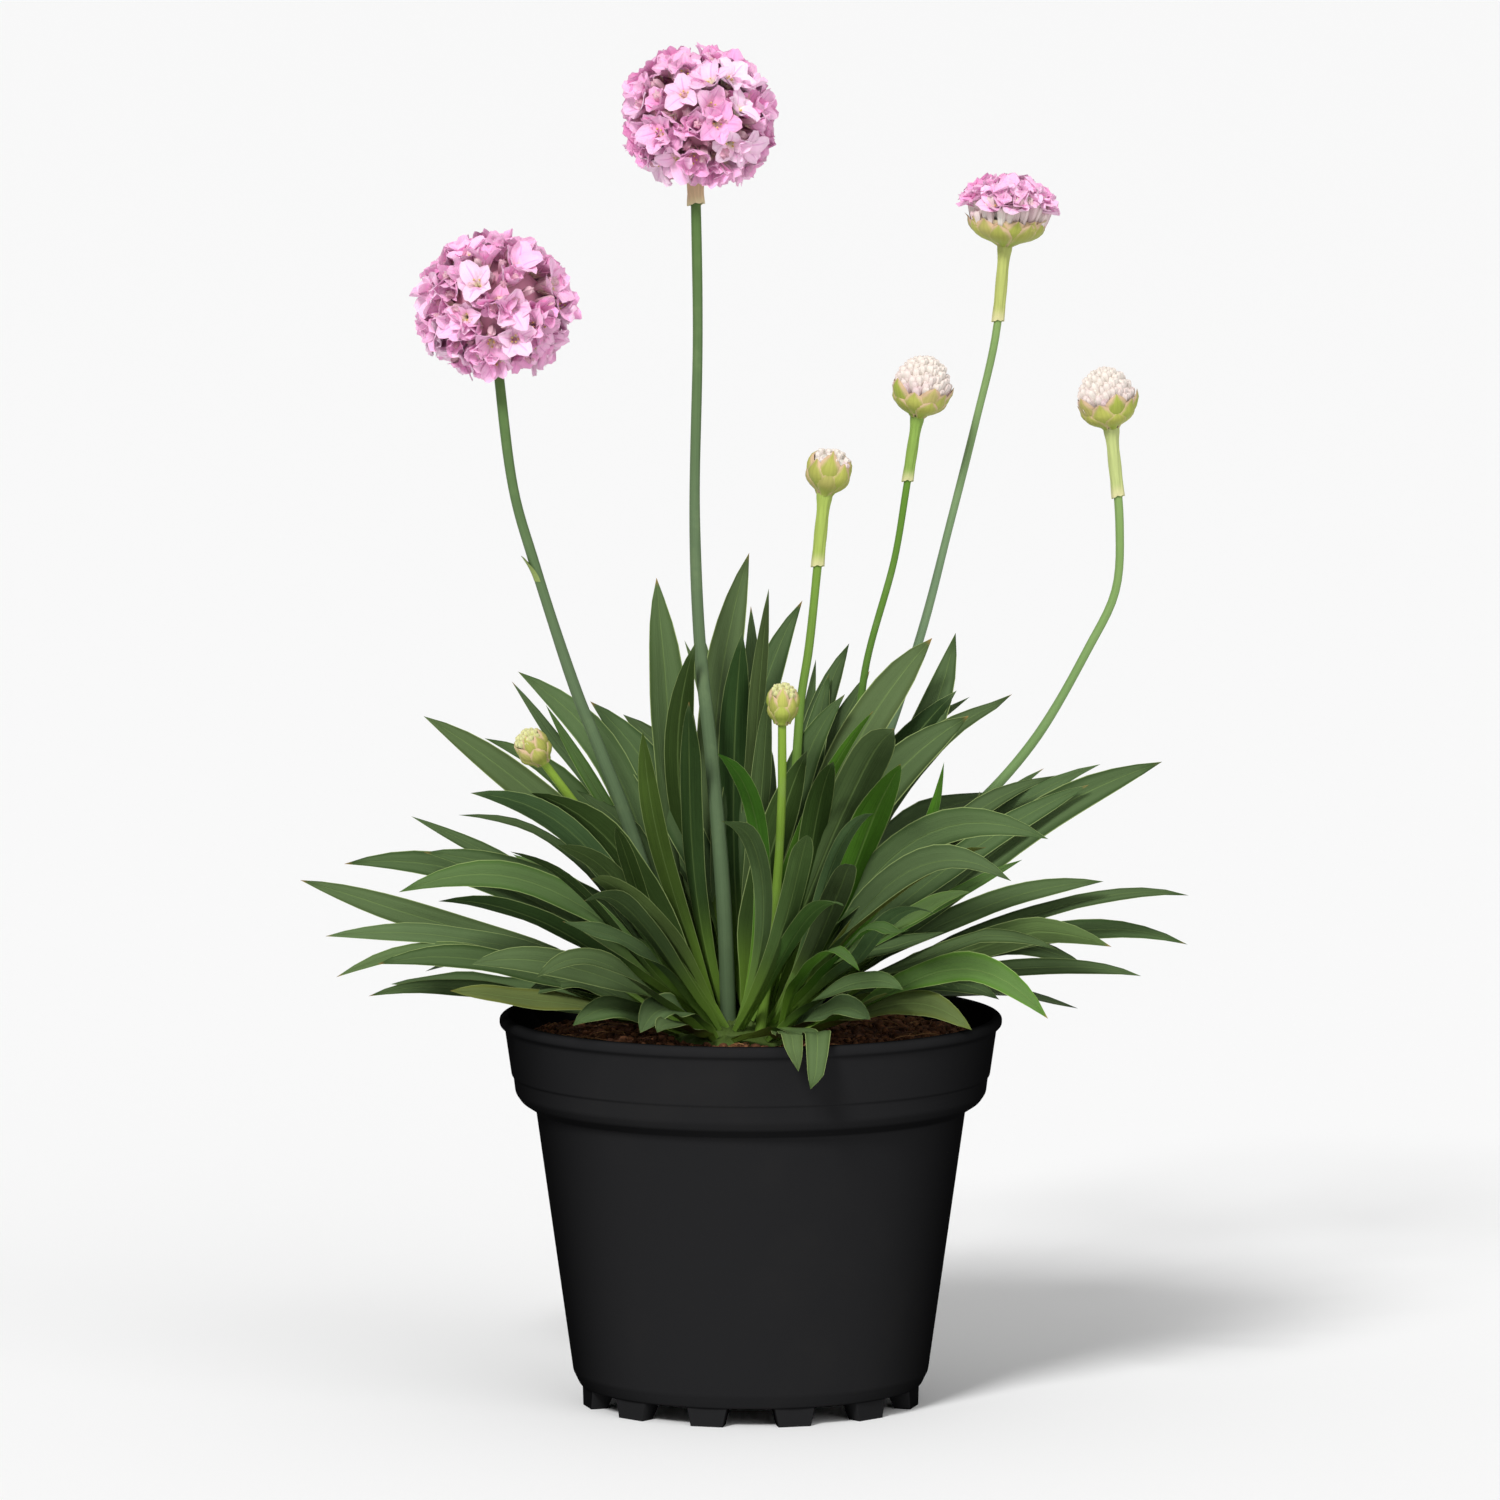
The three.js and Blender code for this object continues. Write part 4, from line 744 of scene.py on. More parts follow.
@dataclass
class Pot:
    """Moulded nursery pot: rolled lip, collar, tapered wall, base ring, twelve feet and four drains."""

    sides: int = 160
    base_underside: float = 4.7
    base_top: float = 6.2
    foot_half_angle: float = math.radians(7.25)
    foot_inner: float = 37.5
    foot_outer: float = 44.0
    foot_taper: float = 0.78
    foot_draft: float = 2.0
    foot_bite: float = 0.6
    feet: int = 12
    drain_count: int = 4
    drain_cut: tuple[float, float] = (3.0, 8.0)
    drain_radius: float = 3.0
    drain_circle: float = 27.0

    def profile(self) -> Array:
        """The wall's section, from the axis under the base up the outside, over the lip and down inside."""
        corners = [
            (0, self.base_underside), (44.3, self.base_underside), (45.6, 7.4), (45.9, 8), (46.1, 8.6),
            (55.6, 76.4), (59.4, 78.8), (60.9, 81), (61.4, 85), (61.9, 85.6), (63.6, 97.4), (65, 98.6),
            (65, 100.2), (64.2, 101), (62.6, 101), (60.6, 82.4), (54.4, 77.8), (44.8, self.base_top),
            (0, self.base_top),
        ]
        return rounded(corners, 0.7)

    def foot(self, index: int) -> Array:
        """One foot: a block whose ends and inner face slope in towards the ground.

        Args:
            index: The foot's number round the base.

        Returns:
            Rings of corners from the ground up, closed by poles at both ends.
        """
        middle = -math.pi / 2 + (index + 0.5) * TAU / self.feet
        top = self.base_underside + self.foot_bite
        levels = [(0.0, 0.0), (0.0, 1.0), (0.35, 1.0), (top, 1.0), (top, 0.0)]
        turn = np.array([-1, -0.95, 0.95, 1, 1, 0.95, -0.95, -1, -1])
        out = np.array([0.06, 0, 0, 0.06, 0.94, 1, 1, 0.94, 0.06])
        rings = []
        for level, reach in levels:
            rise = level / top
            half = self.foot_half_angle * lerp(self.foot_taper, 1.0, rise)
            inner = self.foot_inner + self.foot_draft * (1 - rise)
            radius = lerp(inner, self.foot_outer, lerp(0.5, out, reach))
            rings.append(polar(radius, middle + half * turn * reach, level))
        return np.array(rings)

    def drains(self) -> bpy.types.Object:
        """Short posts that cut the drain holes."""
        cutter = Shell()
        low, high = self.drain_cut
        posts = lathe([(0, low), (self.drain_radius, low), (self.drain_radius, high), (0, high)], 24)
        for k in range(self.drain_count):
            turn = k * TAU / self.drain_count
            cutter.add(posts + self.drain_circle * np.array([math.cos(turn), math.sin(turn), 0]))
        return cutter.make("drain_cutter")

    def build(self, bench: Bench) -> None:
        """Turns the wall, cuts the drains and adds the feet.

        Args:
            bench: Where the piece is dressed.
        """
        wall = Shell()
        wall.add(lathe(self.profile(), self.sides))
        pot = wall.make("moulded_pot")
        cutter = self.drains()
        cut = pot.modifiers.new("drains", "BOOLEAN")
        cut.operation, cut.solver, cut.object = "DIFFERENCE", "EXACT", cutter
        drilled = bpy.data.meshes.new_from_object(pot.evaluated_get(bpy.context.evaluated_depsgraph_get()))
        pot.modifiers.clear()
        feet = Shell()
        feet.add(np.array([self.foot(i) for i in range(self.feet)]))
        block = feet.make("pot_feet")
        work = bmesh.new()
        work.from_mesh(drilled)
        work.from_mesh(block.data)
        work.to_mesh(pot.data)
        work.free()
        for spare in (cutter, block):
            bpy.data.objects.remove(spare)
        pot.data.shade_smooth()
        pot.data.set_sharp_from_angle(angle=math.radians(38))
        bench.set(pot, Slot.POT, "pot")


@dataclass
class Soil:
    """Peat with a crumbly top, loose crumbs and coir fibres, and a round pit for the crown."""

    level: float = 95.2
    edge_level: float = 94.0
    swell: float = 0.7
    waves: tuple[tuple[float, float], ...] = ((0.31, 0.17), (-0.22, 0.43))
    rings: int = 46
    sides: int = 150
    crumbs: int = 1500
    fibres: int = 260
    seed: int = 5

    def top(self, x: Array, y: Array) -> Array:
        """Height of the top: level falling to the wall, plus the mean of two crossed sine waves."""
        radius = np.hypot(x, y)
        base = lerp(self.level, self.edge_level, np.clip((radius - 20) / 41, 0, 1))
        wave = sum(np.sin(x * a + y * b) for a, b in self.waves) / len(self.waves)
        return base + self.swell * wave * smooth(radius, 19.0, 26.0) * (1 - smooth(radius, 57.0, 61.0))

    def body(self) -> Array:
        """The soil's solid as one turned grid whose top has crumbs of three sizes of crossed sines."""
        inside = [(0, 86), (19.9, 86), (19.9, 95.0)]
        outside = [(61.4, 94.0), (60.0, 82.9), (53.9, 78.2), (44.1, 6.5), (0, 6.5)]
        top = [(r, 95.0) for r in np.linspace(20.4, 61.0, self.rings)]
        grid = lathe([*inside, *top, *outside], self.sides)
        rows = slice(len(inside), len(inside) + len(top))
        x, y = grid[rows, :, 0], grid[rows, :, 1]
        crumbs = 0.45 * np.sin(2.9 * x + 1.3 * y) * np.sin(2.3 * y - 1.1 * x)
        crumbs += 0.3 * np.sin(5.3 * x - 2.2 * y + 1) * np.sin(4.7 * y + 1.9 * x)
        grid[rows, :, 2] = self.top(x, y) + crumbs * smooth(np.hypot(x, y), 20.0, 24.0)
        return grid

    def build(self, bench: Bench) -> None:
        """Builds the soil with its crumbs and fibres.

        Args:
            bench: Where the piece is dressed.
        """
        rng = np.random.default_rng(self.seed)
        shell = Shell()
        shell.add(self.body())
        ball = lathe([(0, -1), (0.8, -0.55), (1, 0.2), (0.6, 0.8), (0, 1)], 6)
        radius = np.sqrt(rng.uniform(21**2, 60**2, self.crumbs))
        turn = rng.uniform(0, TAU, self.crumbs)
        x, y = radius * np.cos(turn), radius * np.sin(turn)
        size = rng.uniform(0.35, 1.3, (self.crumbs, 1, 1, 1)) * rng.uniform(0.6, 1.2, (self.crumbs, 1, 1, 3))
        spin = frame_along(unit(rng.normal(size=(self.crumbs, 3)) + np.array([0, 0, 1.5])))
        lumps = np.einsum("nij,rcj->nrci", spin, ball) * size
        lumps += np.stack([x, y, self.top(x, y) + 0.15], axis=-1)[:, None, None]
        warm = blend("#452b1d", "#966543", rng.random((self.crumbs, 1)) ** 2)
        shell.add(lumps, tint=warm[:, None, None], mark=0.7)
        self.lay_fibres(shell, rng)
        bench.set(shell.make("peat_soil"), Slot.SOIL, "soil")

    def lay_fibres(self, shell: Shell, rng: np.random.Generator) -> None:
        """Lays fibres on the top: each is a thin three-sided tube along a shallow arc.

        Args:
            shell: Where they are added.
            rng: Source of their places.
        """
        count = self.fibres
        share = np.linspace(-1, 1, 6)
        radius = np.sqrt(rng.uniform(23**2, 58**2, count))[:, None]
        turn = rng.uniform(0, TAU, count)[:, None]
        heading = rng.uniform(0, TAU, count)[:, None]
        half = rng.uniform(2.0, 6.5, count)[:, None]
        bend = rng.uniform(-1.6, 1.6, count)[:, None]
        x = radius * np.cos(turn) + half * share * np.cos(heading) - bend * share**2 * np.sin(heading)
        y = radius * np.sin(turn) + half * share * np.sin(heading) + bend * share**2 * np.cos(heading)
        far = np.maximum(np.hypot(x, y) / 60.0, 1.0)
        x, y = x / far, y / far
        z = self.top(x, y) + 0.45 + rng.uniform(0, 0.9, count)[:, None] * (1 - share**2)
        line = np.stack([x, y, z], axis=-1)[:, :, None]
        ring = np.linspace(0, TAU, 4)
        side = np.stack([-np.sin(heading), np.cos(heading), 0 * heading], axis=-1)[:, :, None]
        up = np.array([0.0, 0.0, 1.0])
        thick = (0.16 * (1 - share**4))[None, :, None, None]
        grid = line + thick * (side * np.cos(ring)[:, None] + up * np.sin(ring)[:, None])
        tan = blend("#4a2a1c", "#a87d52", rng.random((count, 1)) ** 1.5)
        shell.add(grid, tint=tan[:, None, None], mark=1.0)


@dataclass(frozen=True)
class Plant:
    """One flower stem with its sheath and head."""

    name: str
    stage: Stage
    foot: tuple[float, float]
    path: tuple[tuple[float, float, float], ...]
    low: float
    high: float
    middle: tuple[float, float, float]
    width: float
    height: float
    tilt: tuple[float, float]
    sheath: float
    tones: tuple[str, str, str]
    sheath_tone: str = "#b4bc68"
    slack: float = 0.5
    flap: float = 0.0

    @property
    def axis(self) -> Array:
        """The direction of the head's axis."""
        right, back = (math.tan(math.radians(t)) for t in self.tilt)
        return unit(np.array([right, back, 1.0]))

    @property
    def drop(self) -> float:
        """How far under the middle of its head the stem ends."""
        return self.width * 0.24 if self.stage is Stage.BLOOM else self.height / 2

    @property
    def base(self) -> Array:
        """The seat of the head, under its middle."""
        return SIGHT.seen(self.middle) - self.axis * self.drop

    def settle(self, grid: Array) -> Array:
        """Carries points from the head's own frame, with its seat at the origin, to their place."""
        return grid @ frame_along(self.axis).T + self.base

    def curve(self, shares: Array) -> Array:
        """Points at shares of the length of a centripetal Catmull-Rom curve from foot to seat.

        Each span is a cubic whose end tangents weigh the neighbouring chords by the square roots of their
        lengths, and the shares are read off the running length of 60 points a span.
        """
        foot = [[CROWN[0] + self.foot[0], CROWN[1] + self.foot[1], 91.0]]
        points = np.concatenate([foot, SIGHT.seen(self.path), [self.base - self.axis * 0.35]])
        points = np.concatenate([[2 * points[0] - points[1]], points, [2 * points[-1] - points[-2]]])
        step = np.sqrt(np.linalg.norm(np.diff(points, axis=0), axis=1))
        t = np.linspace(0, 1, 60, endpoint=False)[:, None]
        spans = []
        for i in range(1, len(points) - 2):
            p0, p1, p2, p3 = points[i - 1 : i + 3]
            d0, d1, d2 = step[i - 1 : i + 2]
            m1 = ((p1 - p0) / d0 - (p2 - p0) / (d0 + d1) + (p2 - p1) / d1) * d1
            m2 = ((p2 - p1) / d1 - (p3 - p1) / (d1 + d2) + (p3 - p2) / d2) * d1
            spans.append(
                p1 + m1 * t + (-3 * p1 + 3 * p2 - 2 * m1 - m2) * t**2 + (2 * p1 - 2 * p2 + m1 + m2) * t**3
            )
        line = np.concatenate([*spans, points[-2:-1]])
        length = np.concatenate([[0], np.cumsum(np.linalg.norm(np.diff(line, axis=0), axis=1))])
        wanted = np.asarray(shares) * length[-1]
        return np.stack([np.interp(wanted, length, line[:, k]) for k in range(3)], axis=-1)

    def length(self) -> float:
        """The stem's length."""
        line = self.curve(np.linspace(0, 1, 200))
        return float(np.linalg.norm(np.diff(line, axis=0), axis=1).sum())

    def radius(self, shares: Array) -> Array:
        """The stem's radius at shares of its length."""
        return lerp(self.low, self.high, smooth(shares, 0.1, 0.75))

    def guard(self) -> Array:
        """Rows of places up the stem and the head on it, each with the radius that leaves keep clear of."""
        shares = np.linspace(0, 1, 151)
        stem = np.concatenate([self.curve(shares), self.radius(shares)[:, None]], axis=1)
        ups = self.height * np.linspace(-0.5, 0.5, 9)[:, None]
        head = SIGHT.seen(self.middle) + self.axis * ups
        return np.concatenate([stem, np.append(head, np.full((9, 1), self.width / 2 + 0.6), axis=1)])


CROWN = (-2.0, 0.0, 97.0)

PLANTS = (
    Plant(
        "first_bloom", Stage.BLOOM, (-11.1, -2.8),
        ((-31, 149, -12), (-39, 170, -15), (-45, 185, -17), (-56, 219, -19), (-61, 237, -20)),
        2.0, 1.3, (-66, 284.5, -20), 40.0, 35.6, (-2, -4), 0.0, ("#5c7150", "#5f7452", "#56743a"), flap=0.68,
    ),
    Plant(
        "tall_bloom", Stage.BLOOM, (-3.4, -3.2),
        ((-7, 131, -8), (-10, 167, -8), (-13, 196, -8), (-14.4, 230, -7), (-13.6, 278, -5)),
        2.0, 1.3, (-13.6, 332.5, -4), 40.0, 35.6, (4, -5), 12.0, ("#5c7150", "#5f7452", "#56743a"),
        "#dcc197", 0.8,
    ),
    Plant(
        "opening_bloom", Stage.OPENING, (8.4, 7.8),
        ((26, 150, 20), (33, 167, 23), (44, 200, 27), (51, 227, 28), (58, 255, 28), (63, 277, 28)),
        1.5, 1.0, (66, 309, 28), 26.0, 17.0, (5, -3), 20.0, ("#6c8560", "#76906c", "#8aa85c"),
    ),
    Plant(
        "right_bud", Stage.BUD, (3.0, 3.2),
        ((17, 141, 8), (26, 167, 10), (30, 193, 11), (37, 219, 12), (40, 237, 12)),
        1.3, 0.9, (44, 263.5, 12), 16.0, 14.5, (9, -2), 17.0, ("#567a3a", "#5a8032", "#638c2e"), "#86a548",
    ),
    Plant(
        "far_right_bud", Stage.BUD, (11.5, 1.0),
        ((38, 139, 12), (57, 154, 15), (73, 172, 16), (87, 196, 16), (94, 211, 16), (95, 228, 16)),
        1.7, 1.1, (91.5, 260.5, 16), 16.0, 14.5, (-9, -2), 18.0, ("#708c5c", "#7a9a5e", "#86a45c"), "#b9c47c",
        flap=0.42,
    ),
    Plant(
        "middle_bud", Stage.SMALL, (3.4, -3.4),
        ((7, 131, -2), (11, 157, 0), (13, 183, 1), (15, 196, 1), (17, 215, 1)),
        1.4, 1.1, (20.2, 242, 1), 10.8, 11.2, (12, -3), 19.0, ("#64833e", "#6d8f3c", "#7a9c3c"), "#a2b654",
    ),
    Plant(
        "low_bud", Stage.SMALL, (3.6, -11.0), ((6.5, 131, -17), (8, 157, -22)),
        1.4, 1.1, (8.3, 182, -24), 6.9, 9.6, (2, -3), 0.0, ("#6f9038", "#789a38", "#88a83c"),
    ),
    Plant(
        "left_bud", Stage.SMALL, (-9.6, 6.4), ((-24, 125, -3), (-36, 144, -10), (-44, 154, -15)),
        1.3, 1.1, (-56.3, 170.6, -22), 7.6, 9.0, (-34, -8), 0.0, ("#7a9a3c", "#84a43c", "#90b040"),
    ),
)


@dataclass
class Stems:
    """The flower stems and the papery sheaths under the heads."""

    rows: int = 64
    sides: int = 18
    flap_length: float = 7.0
    flap_grip: float = 1.7
    sheath_rows: int = 14
    sheath_sides: int = 32
    wall: float = 0.35

    def stem(self, plant: Plant) -> bpy.types.Object:
        """One stem: a round tube with faint ribs, closed at both ends, its colour blended along it.

        Args:
            plant: Whose stem it is.

        Returns:
            The piece.
        """
        shares = np.linspace(0, 1, self.rows)
        centres = plant.curve(shares)
        turn = np.linspace(0, TAU, self.sides + 1)
        ribs = 1 + 0.025 * np.cos(5 * turn)[None, :] + 0.02 * np.sin(37 * shares)[:, None]
        radii = plant.radius(shares)[:, None] * ribs
        grid, _ = tube(centres, radii, self.sides)
        ends = [np.repeat(p[None, None], self.sides + 1, axis=1) for p in (centres[0], centres[-1])]
        grid = np.concatenate([ends[0], grid, ends[1]])
        tones = np.array([paint(t) for t in plant.tones])
        at = np.concatenate([[0], shares, [1]])
        tint = np.stack([np.interp(at, (0, 0.6, 1), tones[:, k]) for k in range(3)], axis=-1)
        shell = Shell()
        shell.add(grid, tint=tint[:, None])
        if plant.flap:
            shell.add_sheets(self.flap(plant), paint("#8fa05c"))
        return shell.make(f"{plant.name}_stalk")

    def flap(self, plant: Plant) -> Array:
        """A small pointed leaf that clasps the stem on its left and stands off it towards its tip.

        A point is stem + (radius + off t^2) (cos a, sin a), with a = pi + u grip (1 - t^2).

        Args:
            plant: Whose stem it is.

        Returns:
            The sheet's grid.
        """
        t = np.linspace(0, 1, 9)[:, None]
        u = np.linspace(-1, 1, 7)[None, :]
        share = plant.flap + t[:, 0] * self.flap_length / plant.length()
        angle = math.pi + u * self.flap_grip * (1 - t**2)
        out = plant.radius(share)[:, None] + 0.15 + 1.5 * t**2
        return sheet_of(plant.curve(share)[:, None] + polar(out, angle, 0.0), 0.4)

    def sheath(self, plant: Plant) -> bpy.types.Object:
        """One sheath: a thin tube round the stem's top whose lower rim is torn into points.

        Args:
            plant: Whose sheath it is.

        Returns:
            The piece: an outer and an inner wall joined at both rims.
        """
        shares = 1 - plant.sheath * np.linspace(1, 0, self.sheath_rows) / plant.length()
        centres = plant.curve(shares)
        turn = np.linspace(0, TAU, self.sheath_sides + 1)
        rise = np.linspace(0, 1, self.sheath_rows)[:, None]
        wrinkle = 1 + 0.05 * np.sin(7 * turn + 5 * rise) + 0.04 * np.sin(11 * turn - 9 * rise)
        flare = 1 + 0.06 * (1 - rise) ** 4 + 0.3 * smooth(rise, 0.78, 1.0)
        torn = (1 - rise) ** 6 * (0.4 * np.sin(turn + 0.6) + 0.16 * np.sin(6 * turn + 1))
        walls = []
        for inset in (0.0, self.wall):
            radii = (plant.high + plant.slack - inset) * wrinkle * flare
            wall, along = tube(centres, radii, self.sheath_sides)
            walls.append(wall - along[:, None] * torn[..., None])
        outer, inner = walls
        heights = np.concatenate([rise, rise[::-1], rise[:1]])[:, 0]
        uv = np.stack(np.meshgrid(np.linspace(0, 1, self.sheath_sides + 1), heights), axis=-1)
        shell = Shell()
        shell.add(np.concatenate([outer, inner[::-1], outer[:1]]), uv, paint(plant.sheath_tone))
        return shell.make(f"{plant.name}_papery_sheath")

    def build(self, bench: Bench) -> None:
        """Builds all stems and sheaths.

        Args:
            bench: Where the pieces are dressed.
        """
        for plant in PLANTS:
            bench.set(self.stem(plant), Slot.STEM, f"{plant.name}_stem")
            if plant.sheath:
                bench.set(self.sheath(plant), Slot.SHEATH, f"{plant.name}_sheath")


@dataclass(frozen=True)
class Tier:
    """One ring of the crown, and the leaves that grow from it."""

    name: str
    inner: float
    outer: float
    foot: float
    top: float


@dataclass(frozen=True)
class Shift:
    """How a leaf is bent clear of the stems: its foot and tip turned round the crown, its middle swayed."""

    foot: float = 0.0
    sway: float = 0.0
    tip: float = 0.0


class Tone(Enum):
    """Leaf colours; the first, deepest one is partly painted shade, a darker green given to leaves that lie
    in shade.
    """

    # The first tone is a dark leaf green that partly stands for shade: painted shade on leaves that lie in
    # shade in the clump.
    DEEP_SHADED = "#354f29"
    GREY = "#506a43"
    FRESH = "#4d7f2c"
    OLIVE = "#6a7338"
    BRIGHT = "#577a3c"


TONES = tuple(np.array(paint(tone.value)) for tone in Tone)

# Leaves: pixels of the tip and of the middle in the photograph, depth of the tip, width, turn, tone (tone 0,
# the deepest, is partly painted shade)
LEAVES = (
    (424, 716, 590, 855, 0, 8.5, 0.8, 1), (484, 741, 612, 862, 14, 8, 0.6, 0),
    (519, 671, 620, 815, 0, 9, 0.8, 1), (532, 671, 642, 820, 16, 7, 0.6, 0),
    (511, 683, 602, 832, 24, 4.5, 0.5, 1), (548, 705, 625, 850, -14, 4, 0.8, 2),
    (590, 702, 672, 830, 6, 9.5, 0.8, 0), (623, 714, 690, 842, 15, 9.5, 0.9, 0),
    (470, 793, 597, 862, -42, 6.5, 0.9, 1), (533, 800, 642, 900, -30, 8.5, 0.5, 0),
    (455, 816, 590, 882, -12, 4.5, 0.4, 0), (413, 812, 578, 915, 8, 4.5, 0.7, 0),
    (424, 852, 583, 912, -4, 7.5, 0.8, 0), (344, 866, 543, 915, 3, 7.5, 0.8, 0),
    (400, 888, 571, 900, -40, 8, 0.7, 4), (300, 880, 521, 942, -6, 7, 0.8, 1),
    (325, 932, 533, 945, -14, 6, 0.6, 1), (335, 977, 538, 962, -16, 5.5, 0.5, 1),
    (378, 963, 560, 974, -40, 7, 0.7, 0), (370, 1002, 556, 998, 4, 5, 0.6, 0),
    (448, 993, 590, 1002, -34, 6.5, 0.6, 3), (473, 963, 607, 972, -60, 7.5, 0.8, 1),
    (537, 975, 640, 972, -76, 6.5, 0.6, 1), (580, 898, 655, 935, -74, 5.5, -0.6, 1),
    (598, 883, 665, 932, -66, 5.5, 0.8, 1), (616, 830, 652, 922, -58, 4.5, 0.6, 0),
    (643, 732, 662, 880, -34, 5.5, 0.9, 4), (553, 840, 640, 920, -55, 6, 0.8, 1),
    (510, 852, 612, 926, -45, 3, 0.5, 0), (440, 905, 600, 950, -50, 6, -0.5, 0),
    (573, 1024, 652, 1008, -34, 7, 0.6, 1), (640, 1032, 690, 1002, -38, 9, 0.5, 1),
    (657, 1038, 700, 1018, -44, 7, 0.4, 1), (656, 578, 660, 800, 10, 10, -0.7, 1),
    (707, 640, 683, 820, -16, 7.5, 0.8, 0), (668, 642, 686, 800, 18, 5.5, 0.6, 2),
    (684, 641, 706, 810, 12, 4.5, 0.5, 1), (750, 552, 716, 770, 14, 9.5, 0.8, 1),
    (701, 628, 716, 800, 22, 6, 0.5, 1), (803, 600, 748, 770, 12, 8.5, 0.8, 0),
    (767, 587, 757, 780, -4, 5, 0.4, 1), (751, 606, 750, 790, 24, 5.5, 0.4, 1),
    (743, 629, 720, 800, -6, 8, -0.8, 0), (817, 660, 800, 812, 26, 4.5, 0.4, 1),
    (829, 672, 805, 822, 18, 7, 0.7, 0), (850, 645, 812, 812, 28, 8, 0.6, 0),
    (867, 668, 822, 822, 22, 8, 0.6, 0), (847, 694, 792, 830, -4, 9, 0.7, 0),
    (873, 712, 815, 850, -20, 3.5, 0.8, 2), (716, 749, 766, 852, -50, 5, 0.6, 2),
    (716, 808, 766, 902, -60, 5, -0.5, 1), (810, 750, 788, 870, -6, 8.5, -0.8, 0),
    (833, 766, 790, 882, -46, 7, -0.7, 0), (896, 742, 815, 860, -56, 10.5, 0.8, 1),
    (900, 757, 850, 880, -50, 9.5, 0.7, 2), (867, 822, 815, 902, -64, 4, -0.8, 1),
    (808, 833, 792, 926, -80, 6, 0.9, 1), (851, 873, 816, 930, -70, 7, -0.8, 1),
    (844, 908, 797, 944, -74, 5.5, 0.5, 4), (860, 972, 792, 956, -85, 5, 0.5, 2),
    (911, 943, 836, 956, -76, 5.5, 0.6, 2), (797, 1077, 766, 1024, -78, 6, 0.2, 1),
    (812, 1083, 812, 1024, -77, 7, 0.2, 1), (870, 1018, 806, 1012, -52, 7, 0.6, 1),
    (972, 1027, 860, 1002, -40, 8, 0.5, 3), (1049, 1018, 900, 970, -52, 8.5, 0.6, 2),
    (931, 637, 840, 818, 2, 11, 0.9, 1), (950, 630, 885, 818, 18, 9.5, 0.7, 0),
    (956, 691, 860, 820, 12, 9.5, -0.8, 0), (968, 715, 860, 850, -8, 11, 0.9, 0),
    (1014, 698, 880, 850, 6, 8, 0.6, 0), (1045, 770, 900, 880, 12, 4.5, 0.5, 0),
    (1057, 776, 905, 890, 4, 7, 0.6, 0), (1100, 768, 920, 880, 16, 5.5, 0.6, 1),
    (1088, 783, 915, 892, -6, 7, 0.7, 0), (1162, 760, 950, 892, -2, 9.5, 0.8, 0),
    (1047, 838, 900, 856, -54, 9, 0.8, 1), (986, 849, 875, 905, -50, 4.5, -0.7, 3),
    (1014, 888, 885, 893, -62, 8.5, 0.8, 1), (976, 895, 870, 940, -68, 5, 0.7, 4),
    (937, 914, 850, 955, -72, 5.5, -0.6, 1), (1104, 880, 930, 935, -10, 6.5, 0.7, 0),
    (1188, 905, 970, 925, -4, 5.5, 0.5, 0), (1184, 949, 965, 945, 10, 6, 0.6, 0),
    (1112, 947, 935, 948, -34, 8, -0.7, 1), (1142, 979, 945, 970, -14, 5.5, 0.5, 0),
    (1060, 952, 905, 945, -48, 4.5, 0.7, 0), (1018, 860, 900, 930, -44, 3.5, 0.8, 2),
    (948, 768, 892, 890, -36, 3.5, 0.7, 2), (1000, 1000, 880, 985, -10, 8, 0.5, 0),
    (960, 985, 860, 982, -20, 7, 0.5, 0), (1090, 966, 930, 962, 6, 6.5, 0.6, 0),
    (905, 992, 830, 985, -50, 6.5, 0.5, 1), (945, 962, 850, 962, -30, 7, 0.5, 0),
    (520, 998, 620, 985, -20, 7, 0.5, 0), (560, 940, 650, 955, -62, 6, 0.6, 1),
    (690, 700, 700, 850, -30, 6, 0.6, 0), (770, 690, 765, 840, -10, 5.5, 0.5, 1),
    (590, 790, 650, 890, -20, 7, 0.6, 0),
)


@dataclass(frozen=True)
class Leaf:
    """One leaf's tip, its ring row, and how it arches, sways, turns to the eye and twists."""

    tip: Array
    row: int
    width: float
    bow: float
    sway: float
    turn: float
    twist: float
    roll: float
    heel: float
    tone: int


